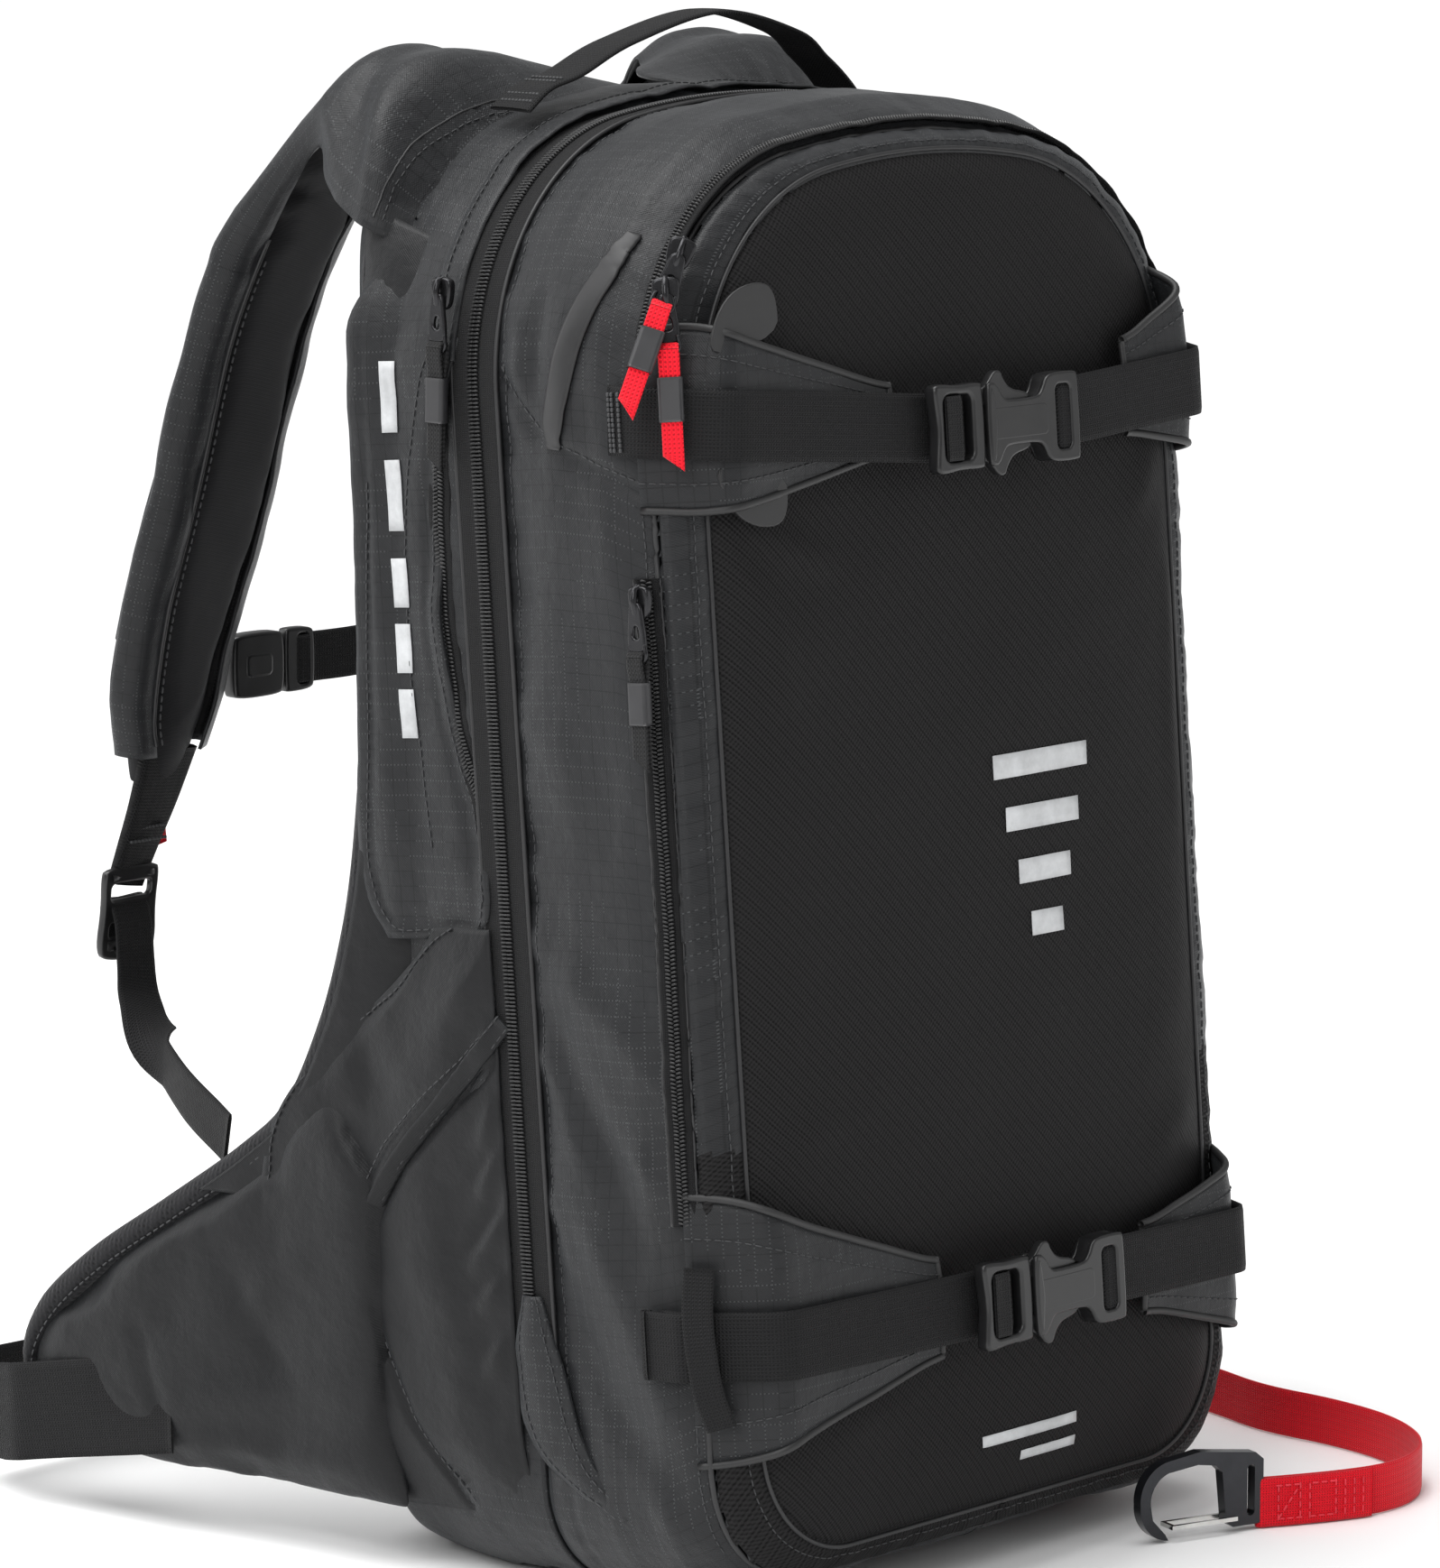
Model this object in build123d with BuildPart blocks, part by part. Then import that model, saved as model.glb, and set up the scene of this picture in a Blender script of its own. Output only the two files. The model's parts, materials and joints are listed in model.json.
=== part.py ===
from build123d import *

import math
import os

os.makedirs("parts", exist_ok=True)

# Avalanche airbag backpack, standing on its base. Millimetres.
# X is to the right seen from the front, the front looks along -Y, the wearer's back is at +Y.

# Driving dimensions
HALF_WIDTH = 146  # of the bag, at the split zip
CREST = 539  # height of the bag along its leaning split plane
CROWN = 28  # rise of the bag's top edge between its corners
CORNER = 95  # radius of the bag's upper corners
FOOT = 42  # radius of the bag's lower corners
LEAN = 4.6  # degrees that the front bag leans back
SPLIT = -27  # split plane, measured square to itself from the origin
SPLIT_GAP = 0.3  # half the clearance between the two bags
SEAM = -108  # seam between the front bag and its pocket panel
PANEL = -118  # edge of the pocket panel
PANEL_CROWN = -127  # flat middle of the pocket panel
WALL = 3  # padded fabric wall
BACK_Y = 68  # back of the airbag bag
FOAM = 15  # back panel foam

SKI_WEBBING = 25
BELT_WEBBING = 38
STRAP_WEBBING = 20
WEBBING = 1.6  # thickness
STRAP_WIDTH = 66
STRAP_FOAM = 14
WING_FOAM = 13

lean_sin = math.sin(math.radians(LEAN))
lean_cos = math.cos(math.radians(LEAN))


def leaning(depth):
    """Plane parallel to the split zip, depth square to it; its y runs up the bag."""
    return Plane(
        origin=(0, depth * lean_cos, -depth * lean_sin),
        x_dir=(1, 0, 0),
        z_dir=(0, -lean_cos, lean_sin),
    )


def level(height):
    """Plane square to the leaning front at a height up it; its y is the depth."""
    return Plane(
        origin=(0, height * lean_sin, height * lean_cos),
        x_dir=(1, 0, 0),
        z_dir=(0, lean_sin, lean_cos),
    )


def upright(depth):
    """Upright plane facing the front, at y = depth."""
    return Plane.XZ.offset(-depth)


def arch(half, base, top, crown=CROWN, corner=CORNER, foot=FOOT):
    """Outline of the bag seen from the front: flat base, crowned top, round corners."""
    with BuildSketch() as outline:
        with BuildLine():
            Polyline((-half, top - crown), (-half, base), (half, base), (half, top - crown))
            ThreePointArc((half, top - crown), (0, top), (-half, top - crown))
        make_face()
        fillet(outline.vertices().sort_by(Axis.Y)[-2:], corner)
        fillet(outline.vertices().sort_by(Axis.Y)[:2], foot)
    return outline.sketch


def arch_band(back, front, half, top, thickness, low):
    """Strip that runs up one side of the bag, over its top and down the other side."""
    with BuildSketch(leaning(back)) as strip:
        add(arch(half + thickness, 0, top + thickness, corner=CORNER + thickness))
        add(arch(half, 0, top), mode=Mode.SUBTRACT)
        with Locations((0, low / 2)):
            Rectangle(3 * HALF_WIDTH, low, mode=Mode.SUBTRACT)
    extrude(strip.sketch, amount=back - front)


def band(plane, route, radius, width, thickness=WEBBING):
    """Webbing or padding of one thickness along a route, width square to the plane."""
    with BuildSketch(plane) as edge:
        with BuildLine():
            if len(route) > 2:
                FilletPolyline(*route, radius=radius)
            else:
                Line(*route)
        trace(line_width=thickness)
    extrude(edge.sketch, amount=width)


# ---------------------------------------------------------------- front bag

# Depth, half width, base, top, upper corner radius and lower corner radius of each ring
FRONT_RINGS = (
    (SPLIT - SPLIT_GAP, HALF_WIDTH, -2, CREST, CORNER, FOOT),
    (-62, 148, -2, 540, CORNER, FOOT),
    (SEAM, 143, 6, 526, CORNER, 46),
)
PANEL_RINGS = (
    (SEAM - 0.2, 143, 6, 526, CORNER, 46),
    (PANEL, 127, 16, 518, 88, 44),
    (PANEL_CROWN, 98, 60, 480, 70, 40),
)

with BuildPart(mode=Mode.PRIVATE) as main_room:
    for depth, half, base, top, corner, foot in FRONT_RINGS:
        if depth == SEAM:
            depth += WALL
        elif depth == SPLIT - SPLIT_GAP:
            depth += 1
        with BuildSketch(leaning(depth)):
            add(arch(half - WALL, base + WALL, top - WALL, CROWN, corner - WALL, foot - WALL))
    loft(ruled=True)

with BuildPart() as booster_shell:
    for depth, half, base, top, corner, foot in FRONT_RINGS:
        with BuildSketch(leaning(depth)):
            add(arch(half, base, top, CROWN, corner, foot))
    loft(ruled=True)
    add(main_room.part, mode=Mode.SUBTRACT)
booster_shell.part.label = "booster_shell"
export_step(booster_shell.part, "parts/booster_shell.step")

with BuildPart() as front_panel:
    for depth, half, base, top, corner, foot in PANEL_RINGS:
        with BuildSketch(leaning(depth)):
            add(arch(half, base, top, CROWN * half / HALF_WIDTH, corner, foot))
    loft(ruled=True)
front_panel.part.label = "front_panel"
export_step(front_panel.part, "parts/front_panel.step")

# Half of the split zip that stays on the front bag, and the pocket zip round the front arch
ZIP_TAPE = 11
ZIP_THICKNESS = 1.8
ZIP_HALF = HALF_WIDTH + 1.2
ZIP_TOP = CREST + 1.2
SPLIT_ZIP_LOW = 60  # the split zip's two ends, above the base
POCKET_HALF = 146.5  # arch that the pocket zip follows
POCKET_TOP = 532
POCKET_ZIP_LOW = 458

with BuildPart() as split_zip_front:
    front_edge = SPLIT - SPLIT_GAP
    front_tape = (front_edge, front_edge - ZIP_TAPE)
    arch_band(*front_tape, ZIP_HALF, ZIP_TOP, ZIP_THICKNESS, SPLIT_ZIP_LOW)
split_zip_front.part.label = "split_zip_front"
export_step(split_zip_front.part, "parts/split_zip_front.step")

with BuildPart() as pocket_zip:
    pocket_tape = (SEAM + 3 + ZIP_TAPE, SEAM + 3)
    arch_band(*pocket_tape, POCKET_HALF, POCKET_TOP, ZIP_THICKNESS, POCKET_ZIP_LOW)
pocket_zip.part.label = "pocket_zip"
export_step(pocket_zip.part, "parts/pocket_zip.step")

SIDE_ZIP_LOW = 140
SIDE_ZIP_HIGH = 376
SIDE_ZIP_X = -(HALF_WIDTH + 1)
SIDE_ZIP_REACH = (-108, -98)  # depth of its front and back edges

with BuildPart() as side_zip:
    band(
        level(SIDE_ZIP_LOW),
        [(SIDE_ZIP_X, depth) for depth in SIDE_ZIP_REACH],
        0,
        SIDE_ZIP_HIGH - SIDE_ZIP_LOW,
    )
side_zip.part.label = "side_zip"
export_step(side_zip.part, "parts/side_zip.step")


def zip_pull(plane, length, thickness=5):
    """Slider tongue and cord pull, flat against the bag; the plane's y runs up."""
    with BuildSketch(plane) as outline:
        with Locations((0, -4)):
            RectangleRounded(9, 14, 2.5)
        with Locations((0, -length / 2 - 6)):
            Rectangle(5, length - 8)
        with Locations((0, -length + 6)):
            RectangleRounded(9, 22, 2)
    extrude(outline.sketch, amount=thickness / 2, both=True)


SIDE_PULL_LENGTH = 62
side_pull_plane = Plane(
    origin=level(365).from_local_coords((SIDE_ZIP_X - 8.2, -103, 0)),
    x_dir=(0, -lean_cos, lean_sin),
    z_dir=(-1, 0, 0),
)

with BuildPart() as side_zip_pull:
    zip_pull(side_pull_plane, SIDE_PULL_LENGTH, 3.2)
side_zip_pull.part.label = "side_zip_pull"
export_step(side_zip_pull.part, "parts/side_zip_pull.step")

# The two pocket pulls hang over the bag's left front corner, one in front of the other.
# Each has its slider's height, its distance out from the bag's middle, its shift to the
# back along the corner and its lean to the back.
POCKET_PULL_LENGTH = 50
CORNER_FACE = math.radians(40)  # turn of the corner's face from the bag's side
corner_out = Vector(-math.cos(CORNER_FACE), -math.sin(CORNER_FACE), 0)
corner_back = Vector(-math.sin(CORNER_FACE), math.cos(CORNER_FACE), 0)
for label, height, out, shift, turn in (
    ("pocket_zip_pull_upper", 488, 195.4, -4.4, 19),
    ("pocket_zip_pull_lower", 474, 191.6, 0, 0),
):
    lean_back = math.radians(turn)
    across = corner_back * -math.cos(lean_back) - Vector(0, 0, math.sin(lean_back))
    pull_plane = Plane(
        origin=level(height).from_local_coords(corner_out * out + corner_back * shift),
        x_dir=level(0).from_local_coords(across),
        z_dir=level(0).from_local_coords(corner_out),
    )
    with BuildPart() as pocket_zip_pull:
        zip_pull(pull_plane, POCKET_PULL_LENGTH, 3.2)
    pocket_zip_pull.part.label = label
    export_step(pocket_zip_pull.part, f"parts/{label}.step")

# Ski wings: reinforced flaps that carry the ski straps round the bag's front corners.
# Each strap's route is given for the left side, outside the wing that it crosses.
WING_ROUTE = ((-148.5, -99), (-148.5, -105), (-128.7, -134), (-78, -134))
STRAP_ROUTE = ((-151.5, -56), (-151.5, -105.9), (-130.3, -137), (-24, -137))
UPPER_STRAP = 405
LOWER_STRAP = 84
BUCKLE_X = 0


def mirrored(route, end_x):
    """The same route on the right side of the bag, with its last point at end_x."""
    points = [(-x, depth) for x, depth in route[:-1]]
    return (*points, (end_x, route[-1][1]))


for label, low, width, route in (
    ("ski_wing_upper_left", 392, 62, WING_ROUTE),
    ("ski_wing_upper_right", 392, 62, mirrored(WING_ROUTE, 92)),
    ("ski_wing_lower_left", 50, 86, WING_ROUTE),
    ("ski_wing_lower_right", 62, 62, mirrored(WING_ROUTE, 92)),
):
    with BuildPart() as ski_wing:
        band(level(low), route, 10, width, 2.4)
    ski_wing.part.label = label
    export_step(ski_wing.part, f"parts/{label}.step")

for label, low, route in (
    ("ski_strap_upper_left", UPPER_STRAP, STRAP_ROUTE),
    ("ski_strap_upper_right", UPPER_STRAP, mirrored(STRAP_ROUTE, 36)),
    ("ski_strap_lower_left", LOWER_STRAP, STRAP_ROUTE),
    ("ski_strap_lower_right", LOWER_STRAP, mirrored(STRAP_ROUTE, 36)),
):
    with BuildPart() as ski_strap:
        band(level(low), route, 10, SKI_WEBBING)
    ski_strap.part.label = label
    export_step(ski_strap.part, f"parts/{label}.step")

# Side-release buckles. The male half holds the left webbing, the female half the right one.
BUCKLE_HEIGHT = 34
BUCKLE_DEPTH = 10
FEMALE_LENGTH = 50
MALE_FRAME = 26


def buckle_plane(strap_low):
    """Plane of a ski buckle's back face, its origin in the middle of the buckle."""
    middle = strap_low + SKI_WEBBING / 2
    origin = level(middle).from_local_coords((BUCKLE_X, -138.4, 0))
    return Plane(origin=origin, x_dir=(-1, 0, 0), z_dir=(0, -lean_cos, lean_sin))


def female_half(plane, height, depth):
    """Socket with side windows for the prongs and a slot for the webbing."""
    with BuildSketch(plane) as body:
        with Locations((-FEMALE_LENGTH / 2 + 6, 0)):
            RectangleRounded(FEMALE_LENGTH, height, 5)
        with Locations((-FEMALE_LENGTH + 12, 0)):
            Rectangle(6, height - 8, mode=Mode.SUBTRACT)
    extrude(body.sketch, amount=depth)
    with BuildSketch(plane.offset(depth * 0.2)) as socket:
        with Locations((-5, 0)):
            Rectangle(24, height - 9)
        with Locations((-1, 0)):
            Rectangle(14.2, height + 2)
    extrude(socket.sketch, amount=depth * 0.6, mode=Mode.SUBTRACT)


def male_half(plane, height, depth):
    """Frame with a webbing slot, two side prongs and a middle tongue."""
    with BuildSketch(plane.offset(depth * 0.1)) as frame:
        with Locations((MALE_FRAME / 2 + 7.5, 0)):
            RectangleRounded(MALE_FRAME, height, 4)
        with Locations((MALE_FRAME / 2 + 8.5, 0)):
            Rectangle(MALE_FRAME - 12, height - 8, mode=Mode.SUBTRACT)
    extrude(frame.sketch, amount=depth * 0.8)
    with BuildSketch(plane.offset(depth * 0.28)) as prongs:
        with Locations((-1, height / 2 - 7.5), (-1, -height / 2 + 7.5)):
            Rectangle(20, 4)
        with Locations((-1, 0)):
            Rectangle(20, 5)
    extrude(prongs.sketch, amount=depth * 0.44)


for place, strap_low in (("upper", UPPER_STRAP), ("lower", LOWER_STRAP)):
    with BuildPart() as ski_buckle_female:
        female_half(buckle_plane(strap_low), BUCKLE_HEIGHT, BUCKLE_DEPTH)
    ski_buckle_female.part.label = f"ski_buckle_{place}_female"
    export_step(ski_buckle_female.part, f"parts/ski_buckle_{place}_female.step")

    with BuildPart() as ski_buckle_male:
        male_half(buckle_plane(strap_low), BUCKLE_HEIGHT, BUCKLE_DEPTH)
    ski_buckle_male.part.label = f"ski_buckle_{place}_male"
    export_step(ski_buckle_male.part, f"parts/ski_buckle_{place}_male.step")

# ---------------------------------------------------------------- airbag bag and back

BACK_HALF = 138
BACK_TOP = 532
BACK_CORNER = 100
SPLIT_REAR = SPLIT + SPLIT_GAP

with BuildPart(mode=Mode.PRIVATE) as airbag_room:
    with BuildSketch(leaning(SPLIT_REAR + WALL)):
        add(arch(HALF_WIDTH - WALL, WALL - 2, CREST - WALL, CROWN, CORNER - WALL, FOOT - WALL))
    with BuildSketch(upright(BACK_Y + 1)):
        add(arch(BACK_HALF - WALL, WALL, BACK_TOP - WALL, CROWN, BACK_CORNER, FOOT - WALL))
    loft(ruled=True)

with BuildPart() as airbag_compartment:
    with BuildSketch(leaning(SPLIT_REAR)):
        add(arch(HALF_WIDTH, -3.5, CREST))
    with BuildSketch(upright(BACK_Y)):
        add(arch(BACK_HALF, -1, BACK_TOP, corner=BACK_CORNER))
    loft(ruled=True)
    add(airbag_room.part, mode=Mode.SUBTRACT)
    # the base is flat, to stand on
    with BuildSketch(Plane.XY):
        Rectangle(4 * HALF_WIDTH, 4 * HALF_WIDTH)
    extrude(amount=-20, mode=Mode.SUBTRACT)
airbag_compartment.part.label = "airbag_compartment"
export_step(airbag_compartment.part, "parts/airbag_compartment.step")

SHEET = 1.5
with BuildPart() as frame_sheet:
    with BuildSketch(upright(BACK_Y + 0.4 + SHEET)):
        add(arch(118, 30, 505, corner=80, foot=30))
    extrude(amount=SHEET)
frame_sheet.part.label = "frame_sheet"
export_step(frame_sheet.part, "parts/frame_sheet.step")

PANEL_BACK_Y = BACK_Y + 0.4 + SHEET + 0.4 + FOAM
with BuildPart() as back_panel:
    with BuildSketch(upright(PANEL_BACK_Y)):
        add(arch(134, 6, 526, corner=BACK_CORNER))
    extrude(amount=FOAM)
    with BuildSketch(upright(PANEL_BACK_Y)):
        with Locations((0, 265)):
            RectangleRounded(46, 440, 20)
    extrude(amount=5, mode=Mode.SUBTRACT)
back_panel.part.label = "back_panel"
export_step(back_panel.part, "parts/back_panel.step")

STAY_X = 55
with BuildPart() as frame_stays:
    with BuildSketch(upright(BACK_Y - 1)):
        with Locations((-STAY_X, 270), (STAY_X, 270)):
            RectangleRounded(20, 450, 4)
    extrude(amount=3)
frame_stays.part.label = "frame_stays"
export_step(frame_stays.part, "parts/frame_stays.step")

with BuildPart() as split_zip_rear:
    rear_tape = (SPLIT_REAR + ZIP_TAPE, SPLIT_REAR)
    arch_band(*rear_tape, ZIP_HALF, ZIP_TOP, ZIP_THICKNESS, SPLIT_ZIP_LOW)
split_zip_rear.part.label = "split_zip_rear"
export_step(split_zip_rear.part, "parts/split_zip_rear.step")

# Burst zip of the airbag on each side, under a stitched flap
FLAP_LOW = 226
FLAP_HEIGHT = 250
with BuildPart() as airbag_zip:
    for side in (-1, 1):
        x = side * (HALF_WIDTH + 2)
        band(level(190), ((x, -14.5), (x, -7.5)), 0, 280)
airbag_zip.part.label = "airbag_zip"
export_step(airbag_zip.part, "parts/airbag_zip.step")

for label, side in (("side_flap_left", -1), ("side_flap_right", 1)):
    with BuildPart() as side_flap:
        flap_route = ((side * (HALF_WIDTH + 4.5), -12), (side * (BACK_HALF + 6), 50))
        band(level(FLAP_LOW), flap_route, 0, FLAP_HEIGHT, 1.8)
    side_flap.part.label = label
    export_step(side_flap.part, f"parts/{label}.step")

AIRBAG_PULL_LENGTH = 58
airbag_pull_plane = Plane(
    origin=level(468).from_local_coords((-(HALF_WIDTH + 8.5), -11, 0)),
    x_dir=(0, -1, 0),
    z_dir=(-1, 0, 0),
)
with BuildPart() as airbag_zip_pull:
    zip_pull(airbag_pull_plane, AIRBAG_PULL_LENGTH)
airbag_zip_pull.part.label = "airbag_zip_pull"
export_step(airbag_zip_pull.part, "parts/airbag_zip_pull.step")

# ---------------------------------------------------------------- inflation system

AIRBAG_HALF = 112
AIRBAG_LOW = 332
AIRBAG_HIGH = 500
with BuildPart() as folded_airbag:
    with BuildSketch(upright(60)):
        add(arch(AIRBAG_HALF, AIRBAG_LOW, AIRBAG_HIGH, corner=80, foot=18))
    extrude(amount=38)
folded_airbag.part.label = "folded_airbag"
export_step(folded_airbag.part, "parts/folded_airbag.step")

FAN_X = 48
FAN_Z = 200
FAN_BACK_Y = 50
FAN_DEPTH = 34
FAN_RADIUS = 46
IMPELLER_RADIUS = 38
MOTOR_RADIUS = 14

with BuildPart() as fan_housing:
    with BuildSketch(upright(FAN_BACK_Y)):
        with Locations((FAN_X, FAN_Z)):
            Circle(FAN_RADIUS)
        with Locations((FAN_X - FAN_RADIUS + 17, FAN_Z + 34)):
            Rectangle(34, 68)
    extrude(amount=FAN_DEPTH)
    with BuildSketch(upright(FAN_BACK_Y - 2)):
        with Locations((FAN_X, FAN_Z)):
            Circle(FAN_RADIUS - 2)
        with Locations((FAN_X - FAN_RADIUS + 17, FAN_Z + 35)):
            Rectangle(30, 70)
    extrude(amount=FAN_DEPTH - 4, mode=Mode.SUBTRACT)
    with BuildSketch(upright(FAN_BACK_Y)):
        with Locations((FAN_X, FAN_Z)):
            Circle(MOTOR_RADIUS + 1)
    extrude(amount=3, mode=Mode.SUBTRACT)
    with BuildSketch(upright(FAN_BACK_Y - FAN_DEPTH + 3)):
        with Locations((FAN_X, FAN_Z)):
            Circle(24)
    extrude(amount=4, mode=Mode.SUBTRACT)
    with BuildSketch(upright(FAN_BACK_Y - FAN_DEPTH + 2)):
        with Locations((FAN_X, FAN_Z)):
            Circle(18)
            Circle(15.5, mode=Mode.SUBTRACT)
            Rectangle(2.4, 49)
            Rectangle(49, 2.4)
    extrude(amount=2)
fan_housing.part.label = "fan_housing"
export_step(fan_housing.part, "parts/fan_housing.step")

BLADES = 9
with BuildPart() as fan_impeller:
    with BuildSketch(upright(FAN_BACK_Y - 5)):
        with Locations((FAN_X, FAN_Z)):
            Circle(IMPELLER_RADIUS)
            Circle(2.05, mode=Mode.SUBTRACT)
    extrude(amount=2)
    with BuildSketch(upright(FAN_BACK_Y - 7)):
        with Locations((FAN_X, FAN_Z)):
            Circle(9)
            Circle(2.05, mode=Mode.SUBTRACT)
            with PolarLocations(23, BLADES):
                Rectangle(27, 2)
    extrude(amount=14)
fan_impeller.part.label = "fan_impeller"
export_step(fan_impeller.part, "parts/fan_impeller.step")

with BuildPart() as fan_motor:
    with BuildSketch(upright(FAN_BACK_Y + 11)):
        with Locations((FAN_X, FAN_Z)):
            Circle(MOTOR_RADIUS)
    extrude(amount=14)
    with BuildSketch(upright(FAN_BACK_Y - 2)):
        with Locations((FAN_X, FAN_Z)):
            Circle(2)
    extrude(amount=16)
fan_motor.part.label = "fan_motor"
export_step(fan_motor.part, "parts/fan_motor.step")

with BuildPart() as air_duct:
    with BuildSketch(Plane.XY.offset(FAN_Z + 68.4)):
        with Locations((FAN_X - FAN_RADIUS + 17, FAN_BACK_Y - FAN_DEPTH / 2)):
            Rectangle(34, FAN_DEPTH)
            Rectangle(31, FAN_DEPTH - 3, mode=Mode.SUBTRACT)
    extrude(amount=60)
air_duct.part.label = "air_duct"
export_step(air_duct.part, "parts/air_duct.step")

SUPPLY_X = -70  # middle of the power supply and the control box
SUPPLY_Y = 34
CAPACITOR_RADIUS = 16.5
CAPACITOR_LENGTH = 82
with BuildPart() as supercapacitors:
    with BuildSketch(Plane.XY.offset(120)):
        with Locations((SUPPLY_X - 18, SUPPLY_Y), (SUPPLY_X + 18, SUPPLY_Y)):
            Circle(CAPACITOR_RADIUS)
    extrude(amount=CAPACITOR_LENGTH)
supercapacitors.part.label = "supercapacitors"
export_step(supercapacitors.part, "parts/supercapacitors.step")

with BuildPart() as battery_holder:
    with Locations((SUPPLY_X, SUPPLY_Y, 72)):
        Box(62, 20, 34)
battery_holder.part.label = "battery_holder"
export_step(battery_holder.part, "parts/battery_holder.step")

CONTROL_TOP = 306
BUTTON_RADIUS = 7
with BuildPart() as control_housing:
    with Locations((SUPPLY_X, SUPPLY_Y, CONTROL_TOP - 45)):
        Box(84, 36, 90)
        Box(79, 31, 85, mode=Mode.SUBTRACT)
    with BuildSketch(Plane.XY.offset(CONTROL_TOP)):
        with Locations((SUPPLY_X, SUPPLY_Y)):
            Circle(BUTTON_RADIUS + 0.3)
    extrude(amount=-4, mode=Mode.SUBTRACT)
control_housing.part.label = "control_housing"
export_step(control_housing.part, "parts/control_housing.step")

with BuildPart() as control_board:
    with Locations((SUPPLY_X, SUPPLY_Y + 10, CONTROL_TOP - 48)):
        Box(72, 1.6, 72)
    with Locations((-86, 39, CONTROL_TOP - 60), (-58, 39, CONTROL_TOP - 60)):
        Box(16, 8.4, 20)
control_board.part.label = "control_board"
export_step(control_board.part, "parts/control_board.step")

with BuildPart() as power_button:
    with BuildSketch(Plane.XY.offset(CONTROL_TOP - 6.5)):
        with Locations((SUPPLY_X, SUPPLY_Y)):
            Circle(BUTTON_RADIUS)
    extrude(amount=9)
    with BuildSketch(Plane.XY.offset(CONTROL_TOP - 6.5)):
        with Locations((SUPPLY_X, SUPPLY_Y)):
            Circle(BUTTON_RADIUS + 2)
    extrude(amount=3)
power_button.part.label = "power_button"
export_step(power_button.part, "parts/power_button.step")

# ---------------------------------------------------------------- shoulder straps

STRAP_TOP_X = -72
STRAP_TOP_Y = 62
STRAP_END_X = -97
STRAP_END_Y = 240
strap_run = math.hypot(STRAP_END_X - STRAP_TOP_X, STRAP_END_Y - STRAP_TOP_Y)
strap_out = (STRAP_END_X - STRAP_TOP_X) / strap_run
strap_back = (STRAP_END_Y - STRAP_TOP_Y) / strap_run
# distance behind the strap's root, and height
STRAP_ROUTE_UP = ((0, 543), (42, 550), (88, 522), (121, 462), (167, 318), (177, 268))


def strap_plane(offset):
    """Upright plane along the left strap, offset sideways from its middle."""
    plane = Plane(
        origin=(STRAP_TOP_X, STRAP_TOP_Y, 0),
        x_dir=(strap_out, strap_back, 0),
        z_dir=(strap_back, -strap_out, 0),
    )
    return plane.offset(offset)


with BuildPart() as shoulder_strap_left:
    with BuildSketch(strap_plane(-STRAP_WIDTH / 2)):
        with BuildLine():
            FilletPolyline(*STRAP_ROUTE_UP, radius=(20, 45, 45, 45))
        trace(line_width=STRAP_FOAM)
    extrude(amount=STRAP_WIDTH)
shoulder_strap_left.part.label = "shoulder_strap_left"
export_step(shoulder_strap_left.part, "parts/shoulder_strap_left.step")

with BuildPart() as shoulder_strap_right:
    add(shoulder_strap_left.part.mirror(Plane.YZ))
shoulder_strap_right.part.label = "shoulder_strap_right"
export_step(shoulder_strap_right.part, "parts/shoulder_strap_right.step")

LADDERLOCK = (-105, 246, 218)
ladderlock_plane = Plane(origin=LADDERLOCK, x_dir=(1, 0, 0), z_dir=(0, 1, 0.12))

with BuildPart() as ladderlock_left:
    with BuildSketch(ladderlock_plane):
        RectangleRounded(30, 38, 4)
        with Locations((0, 9), (0, -7)):
            Rectangle(21.5, 6, mode=Mode.SUBTRACT)
    extrude(amount=2.3, both=True)
ladderlock_left.part.label = "ladderlock_left"
export_step(ladderlock_left.part, "parts/ladderlock_left.step")

with BuildPart() as ladderlock_right:
    add(ladderlock_left.part.mirror(Plane.YZ))
ladderlock_right.part.label = "ladderlock_right"
export_step(ladderlock_right.part, "parts/ladderlock_right.step")

WEBBING_START = Vector(-106, 241, 192)
WEBBING_END = Vector(-153, 138, 152)
webbing_run = WEBBING_END - WEBBING_START

with BuildPart() as adjuster_webbing_left:
    with BuildSketch(Plane(origin=WEBBING_START, x_dir=(1, -0.45, 0), z_dir=webbing_run)):
        Rectangle(STRAP_WEBBING, WEBBING)
    extrude(amount=webbing_run.length)
adjuster_webbing_left.part.label = "adjuster_webbing_left"
export_step(adjuster_webbing_left.part, "parts/adjuster_webbing_left.step")

with BuildPart() as adjuster_webbing_right:
    add(adjuster_webbing_left.part.mirror(Plane.YZ))
adjuster_webbing_right.part.label = "adjuster_webbing_right"
export_step(adjuster_webbing_right.part, "parts/adjuster_webbing_right.step")

# Sternum strap, its buckle beside the left shoulder strap
STERNUM_Z = 311
STERNUM_Y = 235
with BuildPart() as sternum_strap:
    sternum_route = ((-14.5, STERNUM_Y), (61.5, STERNUM_Y))
    band(Plane.XY.offset(STERNUM_Z - STRAP_WEBBING / 2), sternum_route, 0, STRAP_WEBBING)
sternum_strap.part.label = "sternum_strap"
export_step(sternum_strap.part, "parts/sternum_strap.step")

with BuildPart() as sternum_buckle_female:
    with Locations((-46, STERNUM_Y, STERNUM_Z)):
        Box(28, 8, 26)
    with Locations((-39, STERNUM_Y, STERNUM_Z)):
        Box(16, 4.4, 20, mode=Mode.SUBTRACT)
    fillet(sternum_buckle_female.edges().filter_by(Axis.Y).sort_by(Axis.X)[:2], 3)
sternum_buckle_female.part.label = "sternum_buckle_female"
export_step(sternum_buckle_female.part, "parts/sternum_buckle_female.step")

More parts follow.
